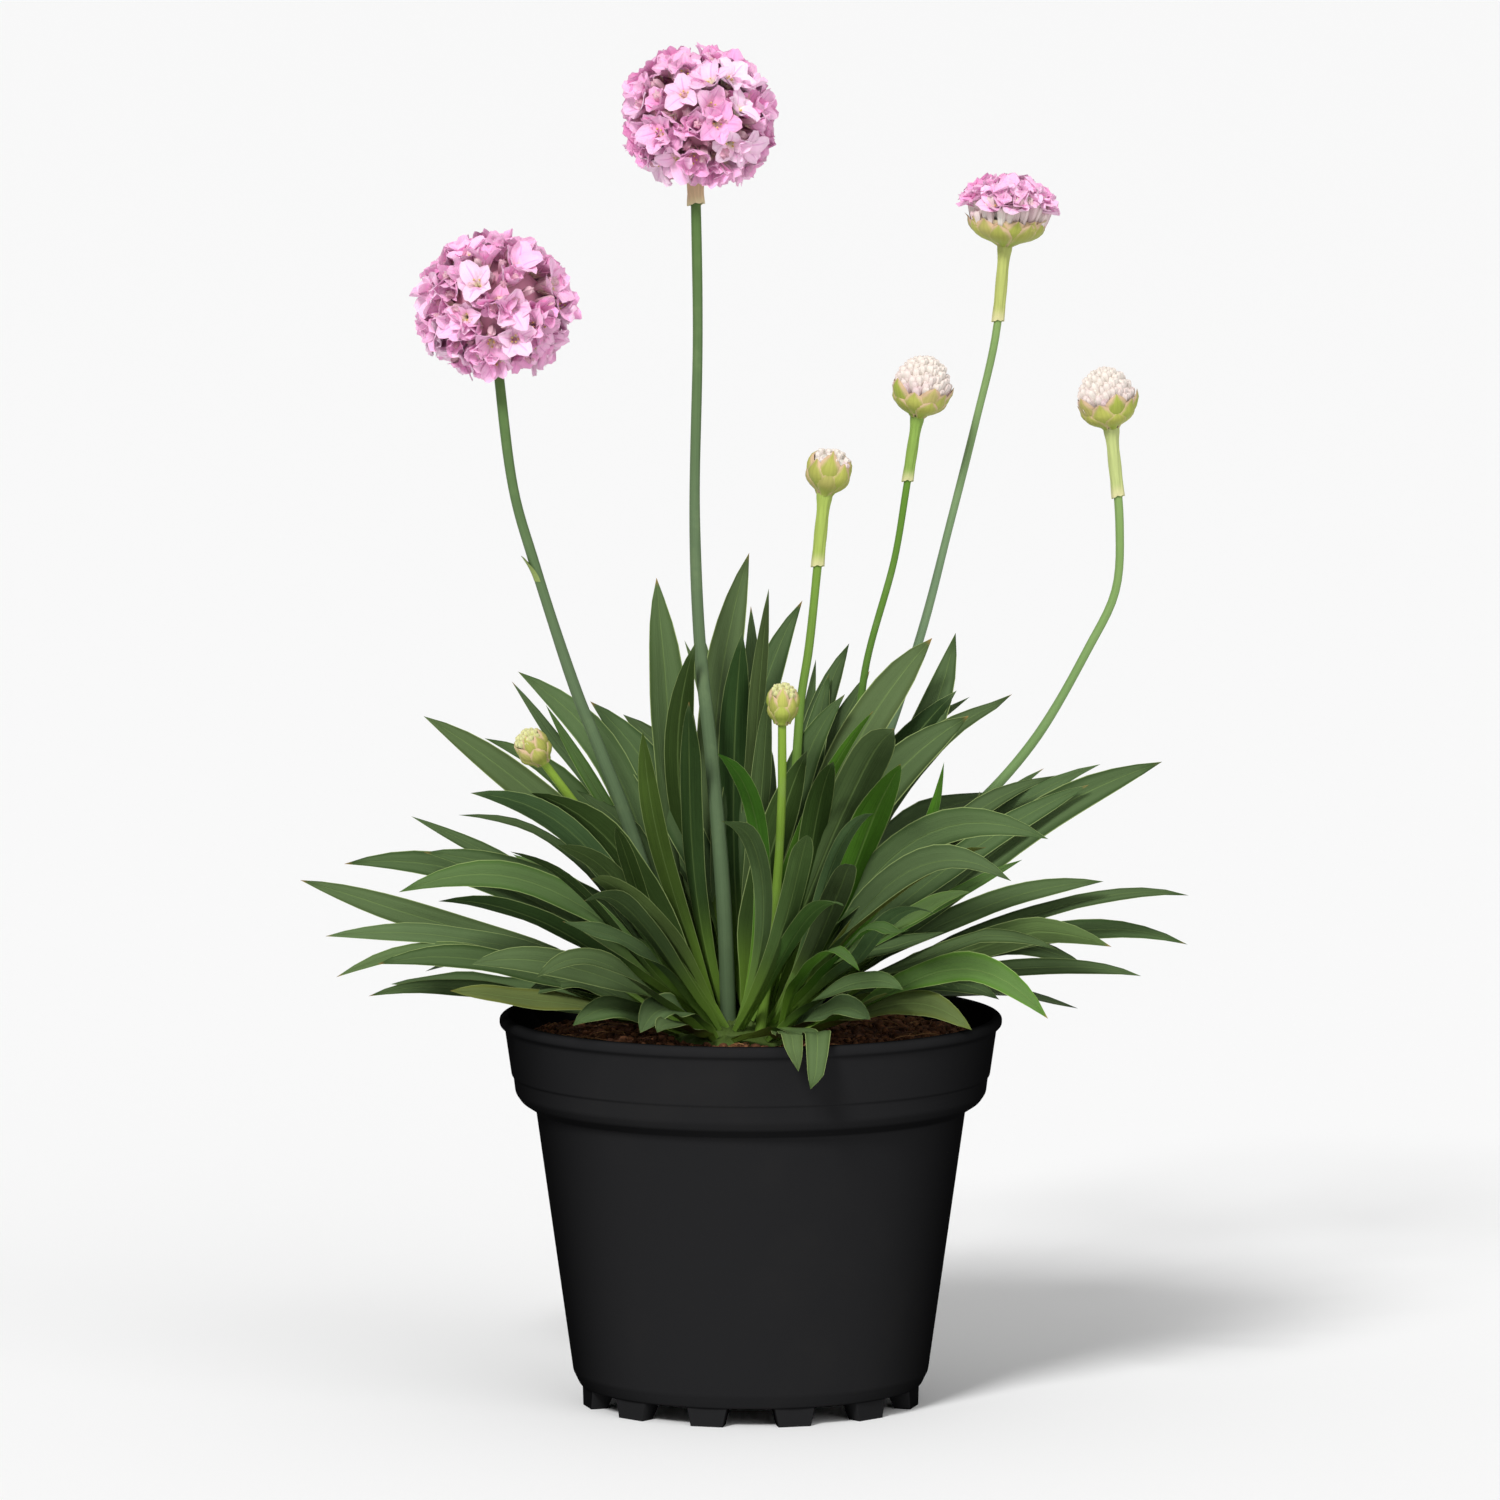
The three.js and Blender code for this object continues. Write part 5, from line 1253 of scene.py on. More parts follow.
@dataclass
class Foliage:
    """The clump: near leaves from the list, far leaves by the golden angle, in three tiers of one crown."""

    tiers: tuple[Tier, ...] = (
        Tier("lower_leaves", 14.5, 19.6, 17.0, 97.6),
        Tier("middle_leaves", 8.8, 14.2, 11.5, 99.6),
        Tier("heart_leaves", 0.0, 8.5, 6.2, 101.6),
    )
    bounds: tuple[tuple[float, ...], ...] = ((14.35, 0.7, 50.0, 62.0), (8.65, 0.7, 110.0, 46.0))
    soil: Soil = field(default_factory=Soil)
    rows: int = 19
    columns: int = 7
    thickness: float = 0.6
    skew: float = 0.45
    broad: float = 10.5
    keel: float = 1.2
    clearance: float = 0.9
    sink: float = 1.6
    far_count: int = 28

    def near(self) -> list[Leaf]:
        """The leaves of the list, with the slight twist that each draws."""
        draw = Draws(7)
        out = []
        for i, (x, y, middle_x, middle_y, depth, width, turn, tone) in enumerate(LEAVES):
            tip = SIGHT.seen((*SIGHT.plane(x, y), depth))
            middle = SIGHT.seen((*SIGHT.plane(middle_x, middle_y), depth * 0.45))
            bow, sway = self.bend(tip, middle)
            twist, roll = math.radians(draw.between(-14, 14)), draw.between(-0.025, 0.025)
            heel = math.radians(draw.between(-20, 20))
            out.append(Leaf(tip, i % 3 - 1, width, bow, sway, turn, twist, roll, heel, tone))
        return out

    def bend(self, tip: Array, middle: Array) -> tuple[float, float]:
        """The bow and sway that carry a leaf from a foot on the middle ring through a place to its tip.

        Args:
            tip: The tip.
            middle: The place that the middle of its length passes.

        Returns:
            Twice the place's offset from the chord's middle, over the arch's length and the chord's.
        """
        azimuth = math.atan2(tip[1] - CROWN[1], tip[0] - CROWN[0])
        ahead = np.array([math.cos(azimuth), math.sin(azimuth), 0.0])
        level = np.array([-ahead[1], ahead[0], 0.0])
        foot = np.array([CROWN[0], CROWN[1], self.tiers[1].top - self.sink]) + ahead * self.tiers[1].foot
        chord = tip - foot
        arch = np.cross(chord, level)
        off = middle - foot - chord / 2
        bow = 2 * float(off @ arch) / float(arch @ arch)
        return bow, 2 * float(off @ level) / float(np.linalg.norm(chord))

    def far(self) -> list[Leaf]:
        """The leaves of the far side: turn and rise step by the golden and plastic shares."""
        draw = Draws(23)
        out = []
        for i in range(self.far_count):
            turn = math.radians(lerp(12, 168, (i * GOLDEN) % 1))
            rise = math.radians(lerp(3, 70, ((i * PLASTIC) % 1) ** 1.25))
            length = draw.between(84, 108)
            flat = min(length * math.cos(rise), 87 / max(0.3, math.sin(turn)))
            tip = np.array(
                [
                    CROWN[0] + flat * math.cos(turn),
                    CROWN[1] + min(flat * math.sin(turn), 87),
                    CROWN[2] + length * math.sin(rise),
                ]
            )
            width, bow, sway = draw.between(7, 11), draw.between(0.08, 0.2), draw.between(-0.06, 0.06)
            twist, roll = math.radians(draw.between(-35, 35)), draw.between(-0.025, 0.025)
            heel = math.radians(draw.between(-24, 24))
            # Every other far leaf takes the first, deepest tone, which is partly painted shade.
            out.append(Leaf(tip, i % 3 - 1, width, bow, sway, 0.0, twist, roll, heel, (0, 1, 0, 2)[i % 4]))
        return out

    def bound(self, index: int, radius: Array) -> Array:
        """Height of the surface between two tiers: top + base + rise (1 - exp(-(r - start) / reach))."""
        start, base, rise, reach = self.bounds[index]
        over = rise * (1 - np.exp(-np.maximum(0, radius - start) / reach))
        return self.tiers[index].top + base + over

    def spine(self, leaf: Leaf, tier: Tier, shift: Shift) -> tuple[Array, Array, Array, Array]:
        """A leaf's foot and chord, and the directions in which it arches and sways, as long as the chord.

        Args:
            leaf: The leaf.
            tier: The ring that it grows from.
            shift: How it is bent clear of the stems.

        Returns:
            Foot, chord, arch and level direction.
        """
        ahead, aside = leaf.tip[0] - CROWN[0], leaf.tip[1] - CROWN[1]
        azimuth = math.atan2(aside, ahead) + shift.tip
        level = np.array([-math.sin(azimuth), math.cos(azimuth), 0.0])
        ring = tier.foot + 1.4 * leaf.row
        at = azimuth + leaf.heel + shift.foot
        foot_x, foot_y = CROWN[0] + ring * math.cos(at), CROWN[1] + ring * math.sin(at)
        foot = np.array([foot_x, foot_y, tier.top - self.sink])
        reach = math.hypot(ahead, aside)
        across, back = reach * math.cos(azimuth), reach * math.sin(azimuth)
        tip = np.array([CROWN[0] + across, CROWN[1] + back, leaf.tip[2]])
        chord = tip - foot
        return foot, chord, np.cross(chord, level), level

    def middle(self, leaf: Leaf, tier: Tier, shift: Shift, s: Array) -> Array:
        """Points of a leaf's middle line.

        A point is foot + chord s + 2 s (1 - s) (arch bow (1 + skew (2 s - 1)) + sway) + arch roll
        sin(2 pi s), so the arch is fuller towards the tip and the roll gives a slight S.

        Args:
            leaf: The leaf.
            tier: The ring that it grows from.
            shift: How it is bent clear of the stems.
            s: Shares of its length, as a column.

        Returns:
            Rows of points.
        """
        foot, chord, arch, level = self.spine(leaf, tier, shift)
        aside = level * (leaf.sway + shift.sway) * np.linalg.norm(chord)
        hump = 2 * s * (1 - s)
        bow = arch * leaf.bow * (1 + self.skew * (2 * s - 1))
        return foot + chord * s + hump * (bow + aside) + arch * leaf.roll * np.sin(TAU * s)

    def outline(self, shares: Array, power: float) -> Array:
        """Share of the full width: a sine swell up to the widest place, then 1 - t^power down to the tip."""
        swell = np.sin(math.pi / 2 * np.minimum(1, shares / 0.68))
        taper = np.maximum(0, (shares - 0.68) / 0.32) ** power
        return lerp(0.34, 1.0, swell) * (1 - taper)

    def stations(self, leaf: Leaf, tier: Tier, shift: Shift, shares: Array) -> tuple[Array, Array, Array]:
        """Middles, half widths across and upper directions of a leaf's sections.

        The upper side turns from its natural direction, square to the curve, towards the eye.

        Args:
            leaf: The leaf.
            tier: The ring that it grows from.
            shift: How it is bent clear of the stems.
            shares: Places along it.

        Returns:
            Three arrays of rows.
        """
        _, _, _, level = self.spine(leaf, tier, shift)
        shares = np.asarray(shares, float)

        def point(s: Array) -> Array:
            """The middle line."""
            return self.middle(leaf, tier, shift, s)

        def heading(s: Array) -> Array:
            """Unit direction of the middle line."""
            return unit(point(s + 0.005) - point(s - 0.005))

        eye = np.array(SIGHT.eye)
        at = np.array([[0.6]])
        lean = float(dot(np.cross(heading(at), level), unit(eye - point(at)))[0, 0])
        face = math.copysign(1.0, lean if abs(lean) > 0.25 else (leaf.turn or 1.0))
        s = shares[:, None]
        centre, along = point(s), heading(s)
        natural = np.cross(along, level)
        strength = abs(leaf.turn) * smooth(s, 0.0, 0.6)
        upper = lerp(natural, unit(eye - centre) * face, strength)
        upper = unit(upper - dot(upper, along) * along)
        upper = turned_about(upper, along, leaf.twist * s)
        power = 3.2 if leaf.width >= self.broad else 2.4
        across = np.cross(upper, along) * (leaf.width / 2) * self.outline(s, power)
        return centre, across, upper

    def corners(self, centre: Array, across: Array, upper: Array) -> Array:
        """Edges and keel of each section, rows x 3 x 3."""
        return np.stack([centre - across, centre + across, centre - upper * self.keel], axis=1)

    def settled(self, centre: Array, across: Array, upper: Array, index: int) -> Array:
        """Raises or lowers the sections so that a leaf stays in its tier, above the soil and over the lip.

        Args:
            centre: Middles of the sections.
            across: Half widths across.
            upper: Upper directions.
            index: The tier's number.

        Returns:
            The middles, moved up or down.
        """
        centre = centre.copy()

        def radii(points: Array) -> tuple[Array, Array]:
            """Distances from the crown's axis and from the pot's."""
            crown = np.hypot(points[..., 0] - CROWN[0], points[..., 1] - CROWN[1])
            return crown, np.hypot(points[..., 0], points[..., 1])

        if index < len(self.bounds):
            points = self.corners(centre, across, upper)
            excess = points[..., 2] - (self.bound(index, radii(points)[0]) - self.clearance)
            centre[1:, 2] -= np.maximum(0, excess.max(axis=1))[1:]
        points = self.corners(centre, across, upper)
        crown, pot = radii(points)
        if index > 0:
            floor = self.bound(index - 1, crown) + self.clearance
        else:
            floor = np.interp(pot, (20, 52, 58, 67, 80), (96.6, 95.6, 102.2, 102.2, 78.0))
            floor = np.where(pot < 80, floor, 0.0)
        centre[1:, 2] += np.maximum(0, (floor - points[..., 2]).max(axis=1))[1:]
        return centre

    def clear(self, leaf: Leaf, index: int, ladder: list[Shift], stems: Array) -> Shift | None:
        """The first shift of the ladder that carries a leaf clear of the stems.

        Args:
            leaf: The leaf.
            index: Its tier's number.
            ladder: Shifts, the slightest first.
            stems: Rows of stem points with their radii.

        Returns:
            The shift, or none.
        """
        shares = np.array([0, 0.3, 0.6, 0.85, 1])
        mix = np.linspace(0, 1, 13)[:, None]
        for shift in ladder:
            centre, across, upper = self.stations(leaf, self.tiers[index], shift, shares)
            centre = self.settled(centre, across, upper, index)
            mid = np.concatenate([lerp(a, b, mix) for a, b in zip(centre[:-1], centre[1:])])
            half = np.concatenate([lerp(a, b, mix) for a, b in zip(across[:-1], across[1:])])
            gap = stems[None, :, :3] - mid[:, None]
            share = np.clip(dot(gap, half[:, None]) / np.maximum(dot(half, half)[:, None], 1e-9), -1, 1)
            distance = np.linalg.norm(gap - share * half[:, None], axis=-1)
            if np.all(distance >= stems[None, :, 3] + 1.0):
                return shift
        return None

    def ladder(self) -> list[Shift]:
        """All shifts in the order of their cost: foot 1, sway 1.5 and tip 3 a step."""
        rungs = []
        for foot in range(-5, 6):
            for sway in range(-3, 4):
                for tip in range(-3, 4):
                    cost = abs(foot) + 1.5 * abs(sway) + 3 * abs(tip)
                    shift = Shift(foot * math.radians(11), sway * 0.05, tip * math.radians(3))
                    rungs.append((cost, shift))
        return [shift for _, shift in sorted(rungs, key=lambda rung: rung[0])]

    def tier_of(self, leaf: Leaf) -> int:
        """The tier whose bounds a leaf leaves least, by the mean height of its sections over each."""
        index = 0
        for i in range(len(self.bounds)):
            centre, _, _ = self.stations(leaf, self.tiers[i + 1], Shift(), np.array([0.4, 0.6, 0.8, 1]))
            radius = np.hypot(centre[:, 0] - CROWN[0], centre[:, 1] - CROWN[1])
            if np.sum(centre[:, 2] - self.bound(i, radius)) > 0:
                index = i + 1
        return index

    def blade(self, leaf: Leaf, index: int, shift: Shift, rng: np.random.Generator) -> Array:
        """One leaf as a closed sheet: a gutter at its foot that flattens, with gently waved margins.

        A point is middle + across u + upper (gutter |u|^1.3 + wave |u| - groove + flick), u from -1 to 1.

        Args:
            leaf: The leaf.
            index: Its tier's number.
            shift: How it is bent clear of the stems.
            rng: Source of its waves.

        Returns:
            The sheet's grid.
        """
        shares = np.linspace(0, 1, self.rows) ** 0.92
        centre, across, upper = self.stations(leaf, self.tiers[index], shift, shares)
        centre = self.settled(centre, across, upper, index)
        u = np.linspace(-1, 1, self.columns)
        s = shares[:, None]
        half = np.linalg.norm(across, axis=-1)[:, None]
        fold = rng.uniform(0.26, 0.5)
        gutter = lerp(0.75, fold, smooth(s, 0.0, 0.6)) * (1 - 0.5 * smooth(s, 0.75, 1.0))
        gutter = gutter * half * np.abs(u) ** 1.3
        phase, waves = rng.uniform(0, TAU), rng.uniform(2.2, 4.0)
        wave = rng.uniform(0.05, 0.16) * half * np.abs(u) * np.sin(TAU * waves * s + phase + 0.8 * np.sign(u))
        groove = 0.12 * half * np.exp(-((u / 0.22) ** 2)) * (1 - s)
        flick = rng.normal(scale=1.6) * smooth(s, 0.7, 1.0)
        lift = gutter + wave - groove + flick
        face = centre[:, None] + across[:, None] * u[:, None] + upper[:, None] * lift[..., None]
        return sheet_of(face, self.thickness, np.minimum(1, 9 * s) * np.minimum(1, 6 * (1 - s)))

    def crown(self, tier: Tier) -> Array:
        """The mound of leaf bases that a tier grows from: a turned section, pleated all round."""
        low = tier.top - 2.6
        section = [(tier.inner, 86.0), (tier.outer, 86.0), (tier.outer, low), (tier.outer - 1.4, low + 1.3)]
        section.append((tier.inner + (0.6 if tier.inner else 0), tier.top - 0.2))
        if tier.inner:
            section += [(tier.inner, tier.top - 0.8), (tier.inner, 86.0)]
        grid = lathe(section, 180)
        turn = np.linspace(0, TAU, 181)
        pleat = 0.5 * np.abs(np.sin(turn * 13)) + 0.3 * np.sin(turn * 29)
        grid[2:5, :, 2] += pleat - 0.5
        return grid + np.array([CROWN[0], CROWN[1], 0])

    def build(self, bench: Bench) -> None:
        """Builds the three tiers.

        Args:
            bench: Where the pieces are dressed.
        """
        rng = np.random.default_rng(11)
        stems = np.concatenate([plant.guard() for plant in PLANTS])
        ladder = self.ladder()
        shells = [Shell() for _ in self.tiers]
        for shell, tier in zip(shells, self.tiers):
            shell.add(self.crown(tier), tint=paint("#4c5f26"), mark=0.2)
        for leaf in [*self.near(), *self.far()]:
            index = self.tier_of(leaf)
            shift = self.clear(leaf, index, ladder, stems)
            if shift is None:
                log.warning("a leaf towards %s found no clear way", leaf.tip)
                continue
            grid = self.blade(leaf, index, shift, rng)
            hue = np.array([rng.uniform(0.95, 1.2), 1.0, rng.uniform(0.7, 0.95)])
            tint = TONES[leaf.tone] * rng.uniform(0.7, 1.3) * hue
            shells[index].add_sheets(grid, tint)
        for shell, tier in zip(shells, self.tiers):
            bench.set(shell.make(f"{tier.name}_blades"), Slot.LEAF, tier.name)


def spread(count: int, lowest: float) -> Array:
    """Directions over a ball from its top down to a lowest height, each a golden turn on from the last.

    Args:
        count: How many.
        lowest: The last one's height, from 1 down to -1.

    Returns:
        Unit directions.
    """
    i = np.arange(count)
    height = lerp(1.0, lowest, (i + 0.5) / count)
    turn = TAU * GOLDEN * i
    flat = np.sqrt(1 - height**2)
    return polar(flat, turn, height)


def strewn(count: int, lowest: float, scatter: float, rng: np.random.Generator) -> Array:
    """Spread directions, each moved aside by a normal draw."""
    return unit(spread(count, lowest) + rng.normal(scale=scatter, size=(count, 3)))


@dataclass
class Florets:
    """Five-petalled florets with yellow anthers."""

    rows: int = 7
    columns: int = 5
    pinks: tuple[str, ...] = ("#fecaea", "#fed2ed", "#fcc0e4", "#feddf2", "#fbb2de", "#fdceeb")
    folded: str = "#f5a2d4"

    def petals(self, size: Array, opening: Array, rng: np.random.Generator) -> Array:
        """Petals in the frame of their florets, with +Z along the floret's axis.

        The middle line leaves the throat nearly upright and leans out to the opening's angle, so its radius
        and height are running sums of that angle's sine and cosine. Across it the petal widens, its tip is
        notched, and its margins are frilled.

        Args:
            size: Petal length of each floret.
            opening: The angle from the axis that its petals lean out to.
            rng: Source of the small differences.

        Returns:
            Grids, florets * 5 x rows x (2 columns - 1) x 3.
        """
        count = len(size) * 5
        shape = (count, 1, 1)
        length = np.repeat(size, 5).reshape(shape) * rng.uniform(0.88, 1.08, shape)
        angle = np.repeat(opening, 5).reshape(shape) + rng.uniform(-0.22, 0.22, shape)
        t = np.linspace(0, 1, self.rows)[None, :, None]
        u = np.linspace(-1, 1, self.columns)[None, None, :]
        curl = 0.4 * smooth(t, 0.7, 1.0) * rng.uniform(-0.6, 1.0, shape)
        lean = lerp(0.12, angle, smooth(t, 0.0, 0.7)) + curl
        step = np.diff(t, axis=1, prepend=0.0)
        out = 0.5 + length * np.cumsum(np.sin(lean) * step, axis=1)
        rise = length * np.cumsum(np.cos(lean) * step, axis=1)
        rise = rise - rise[:, -1:] + 0.9
        wide = length * 0.33 * np.sin(math.pi * (0.08 + 0.77 * t)) ** 0.75
        notch = length * smooth(t, 0.5, 1.0) * (0.05 * np.exp(-((u / 0.3) ** 2)) + 0.13 * u**2)
        frill = 0.07 * length * t**1.5 * np.sin(3.2 * u + rng.uniform(0, TAU, shape)) * (0.4 + np.abs(u))
        cup = 0.17 * length * u**2 * (1 - 0.5 * t) + frill
        reach = out - notch * np.sin(lean)
        height = rise - notch * np.cos(lean)
        inward = reach - cup * np.cos(lean)
        face_z = height + cup * np.sin(lean)
        turn = np.tile(np.arange(5) * TAU / 5, len(size)).reshape(shape) + rng.uniform(-0.12, 0.12, shape)
        side = u * wide
        face = np.stack(
            [
                inward * np.cos(turn) - side * np.sin(turn),
                inward * np.sin(turn) + side * np.cos(turn),
                face_z + 0 * side,
            ],
            axis=-1,
        )
        return sheet_of(face, 0.22, np.sin(math.pi * t[0]))

    def add(
        self, shell: Shell, places: Array, axes: Array, size: Array, opening: Array, spin: Array, rng: Any
    ) -> None:
        """Adds florets to a head.

        Args:
            shell: The head's shell.
            places: Middles of the florets.
            axes: Their unit axes.
            size: Petal lengths.
            opening: Angles that the petals lean out to.
            spin: Turns about their axes.
            rng: Source of the small differences.
        """
        count = len(size)
        turn = frame_along(axes)
        cos, sin, zero = np.cos(spin), np.sin(spin), np.zeros(count)
        about = np.stack(
            [
                np.stack([cos, -sin, zero], axis=-1),
                np.stack([sin, cos, zero], axis=-1),
                np.stack([zero, zero, zero + 1], axis=-1),
            ],
            axis=-2,
        )
        turn = turn @ about
        grid = self.petals(size, opening, rng)
        grid = np.einsum("nij,nrcj->nrci", np.repeat(turn, 5, axis=0), grid)
        grid += np.repeat(places, 5, axis=0)[:, None, None]
        hues = np.array([paint(p) for p in self.pinks])[rng.integers(0, len(self.pinks), count)]
        shut = (1 - smooth(opening, 0.6, 1.2))[:, None]
        hues = lerp(hues, np.array(paint(self.folded)), shut * 0.5)
        tint = np.repeat(hues, 5, axis=0) * rng.uniform(0.9, 1.06, (5 * count, 1))
        shell.add_sheets(grid, tint[:, None, None], 0.5)
        self.anthers(shell, places, turn, opening, rng)

    def anthers(self, shell: Shell, places: Array, turn: Array, opening: Array, rng: Any) -> None:
        """Adds five small yellow anthers round the throat of each open floret.

        Args:
            shell: The head's shell.
            places: Middles of the florets.
            turn: Their frames.
            opening: Angles that the petals lean out to.
            rng: Source of the small differences.
        """
        wide = opening > 0.75
        places, turn = places[wide], turn[wide]
        count = len(places)
        bead = lathe([(0, -0.5), (0.3, -0.2), (0.3, 0.25), (0, 0.5)], 5)
        ring = np.arange(5) * TAU / 5 + rng.uniform(0, TAU, (count, 1))
        out = rng.uniform(0.7, 1.3, (count, 5))
        high = -2.4 + rng.uniform(0, 1.4, (count, 5))
        local = np.einsum("nij,nkj->nki", turn, polar(out, ring, high)) + places[:, None]
        grid = np.einsum("nij,rcj->nrci", turn, bead * 0.9)
        grid = np.repeat(grid, 5, axis=0) + local.reshape(-1, 3)[:, None, None]
        shell.add(grid, tint=paint("#d9c169"), mark=1.0)


@dataclass
class Calyces:
    """Papery calyces: pleated and rounded at their tips."""

    pleats: int = 5

    def add(
        self, shell: Shell, places: Array, axes: Array, length: Array, width: Array, tint: Array
    ) -> None:
        """Adds calyces: slim bodies whose radius swings with the pleats, widest near a rounded, toothed tip.

        Args:
            shell: The head's shell.
            places: Their feet.
            axes: Their unit axes.
            length: Their lengths.
            width: Their rims' radii.
            tint: Their colours.
        """
        turn = np.linspace(0, TAU, 2 * self.pleats + 1)
        pleat = 1 + 0.15 * np.cos(self.pleats * turn)
        rows = [(0.0, 0.0), (0.1, 0.6), (0.5, 0.88), (0.84, 1.0), (0.97, 0.84), (1.02, 0.45), (1.0, 0.0)]
        high, radius = np.array(rows)[:, :1], np.array(rows)[:, 1:]
        tooth = 0.035 * smooth(high, 0.8, 1.0) * np.cos(self.pleats * turn)
        grid = polar(radius * pleat, turn, high + tooth * (radius > 0))
        size = np.stack([width, width, length], axis=-1)[:, None, None]
        grid = np.einsum("nij,nrcj->nrci", frame_along(axes), grid * size) + places[:, None, None]
        rib = 0.5 + 0.5 * np.cos(self.pleats * turn)
        shell.add(grid, tint=tint[:, None, None], mark=np.broadcast_to(rib * 0.7, (len(rows), len(turn))))


@dataclass
class Heads:
    """Cups of bracts and the heads in them, from small bud to full bloom."""

    main: int = 24
    filler: int = 96
    papery: int = 110
    ring: int = 28
    crest: int = 34
    florets: Florets = field(default_factory=Florets)
    calyces: Calyces = field(default_factory=Calyces)
    cup_shares: dict[Stage, tuple[float, float, int]] = field(
        default_factory=lambda: {
            Stage.BLOOM: (0.33, 0.2, 7),
            Stage.OPENING: (0.74, 0.4, 7),
            Stage.BUD: (0.82, 0.36, 5),
            Stage.SMALL: (0.96, 0.6, 4),
        }
    )

    def cup(self, plant: Plant) -> tuple[float, float, float, int]:
        """Radius, height, foot radius and bracts in a row of a head's cup."""
        wide, high, count = self.cup_shares[plant.stage]
        return plant.width * wide / 2, plant.height * high, plant.high + 0.5, count

    def swell(self, plant: Plant, share: Any) -> Any:
        """Radius of the cup at a share of its height: a quarter ellipse raised to a power, from its foot.

        Above the rim it goes on as the ellipse of the dome, which is widest a third of the way to the top.

        Args:
            plant: Whose cup it is.
            share: Share of the cup's height, more than 1 above the rim.

        Returns:
            The radius.
        """
        radius, rim, foot, _ = self.cup(plant)
        share = np.asarray(share, float)
        power = 0.5 if plant.stage is Stage.OPENING else 0.7
        below = foot + (radius - foot) * np.sin(math.pi / 2 * np.clip(share, 0, 1)) ** power
        wide, level = plant.width / 2 - 0.2, lerp(rim, plant.height, 0.3)
        under = (level - rim) / math.sqrt(max(1 - (radius / wide) ** 2, 0.02))
        off = share * rim - level
        axis = np.where(off > 0, plant.height - level, under)
        above = wide * np.sqrt(1 - np.clip(off / axis, -1, 0.97) ** 2)
        return np.where(share > 1, above, below)

    def bracts(self, plant: Plant, seed: int) -> bpy.types.Object:
        """The cup: a thin bowl with three rows of pointed bracts pressed to it.

        Args:
            plant: Whose cup it is.
            seed: Of the small differences.

        Returns:
            The piece.
        """
        rng = np.random.default_rng(seed)
        radius, height, foot, count = self.cup(plant)
        share = np.linspace(0, 1, 9)
        outside = np.stack([self.swell(plant, share) - 0.25, height * share], axis=-1)
        outside = np.concatenate([[[plant.high + 0.45, -1.0], [plant.high + 0.6, -0.3]], outside])
        inside = np.stack([self.swell(plant, share[:3:-1]) - 0.9, height * share[:3:-1]], axis=-1)
        bowl = [(0, -1.0), *outside, *inside, (0, height * 0.25 + 0.9)]
        plain = plant.stage is Stage.SMALL
        shell = Shell()
        green = np.array(paint("#a5a850"))
        # On small buds the bowl is the bracts' green times 0.85: painted shade, as the bowl lies under the
        # bracts.
        shell.add(plant.settle(lathe(bowl, 24)), tint=green * 0.85 if plain else paint("#cdbf98"))
        t = np.linspace(0, 1, 8)[:, None]
        u = np.linspace(-1, 1, 7)[None, :]
        tall = {Stage.BLOOM: 1.1, Stage.OPENING: 1.05, Stage.BUD: 1.7, Stage.SMALL: 1.62}[plant.stage]
        plan = ((-0.12, 0.9, 0.0, 1.2), (0.0, lerp(1.1, tall, 0.4), 0.5, 0.8), (0.2, tall, 0.0, 0.3))
        for row, (start, end, offset, stand) in enumerate(plan):
            ovate = np.sin(math.pi * np.clip(0.2 + 0.8 * t, 0, 1)) ** 0.8
            ovate = np.where(t > 0.98, 0.0, ovate)
            for i in range(count):
                turn = (i + offset + rng.uniform(-0.08, 0.08)) * TAU / count
                top = end * rng.uniform(0.93, 1.05)
                at = lerp(start, top, t)
                angle = turn + u * ovate * (lerp(1.15, 0.85, row / 2) * math.pi / count)
                bulge = rng.uniform(0.5, 1.0) * np.sin(math.pi * t) ** 2 * (1 - 0.6 * u**2)
                out = self.swell(plant, at) + stand * 0.5 + bulge + 0.5 * t**3 * rng.uniform(-0.6, 1.0)
                face = polar(out - 0.5 * u**2 * ovate, angle, height * at)
                hue = blend("#a5a850", rng.choice(["#8da23c", "#bfa878", "#b3b35c"]), rng.uniform(0, 0.6))
                shell.add_sheets(plant.settle(sheet_of(face, 0.35)), hue * rng.uniform(0.85, 1.1))
        return shell.make(f"{plant.name}_bract_cup")

    def bloom(self, plant: Plant, seed: int, bench: Bench) -> None:
        """A full head: the florets of the solids, smaller ones between them, and calyces in the gaps.

        Args:
            plant: Whose head it is.
            seed: Of the draws.
            bench: Where the pieces are dressed.
        """
        draw, rng = Draws(seed), np.random.default_rng(seed)
        centre = np.array([0, 0, plant.drop])
        main = spread(self.main, -0.86)
        ranges = ((0.93, 1.02), (0.88, 1.06), (0, math.pi))
        picks = np.array([[draw.between(*ends) for ends in ranges] for _ in main])
        outward = (plant.width / 2 - 1) * picks[:, 0]
        shell = Shell()
        flat = frame_along(plant.axis)
        ball = np.array([1.0, 1.0, (plant.height + 2.0) / plant.width])
        place = plant.settle(centre + main * ball * outward[:, None])
        opening = rng.uniform(0.7, 1.15, self.main)
        self.florets.add(shell, place, main @ flat.T, 8.6 * picks[:, 1], opening, picks[:, 2], rng)
        fill = strewn(self.filler, -0.9, 0.08, rng)
        fill = fill[(fill @ main.T).max(axis=1) < 0.985]
        outward = (plant.width / 2 - 1) * rng.uniform(0.88, 1.03, len(fill))
        place = plant.settle(centre + fill * ball * outward[:, None])
        tilt = unit(fill + rng.normal(scale=0.3, size=fill.shape)) @ flat.T
        size = rng.uniform(6.4, 8.4, len(fill))
        opening = rng.choice([0.35, 0.6, 0.8, 0.95], len(fill)) + rng.uniform(-0.1, 0.1, len(fill))
        self.florets.add(shell, place, tilt, size, opening, rng.uniform(0, TAU, len(fill)), rng)
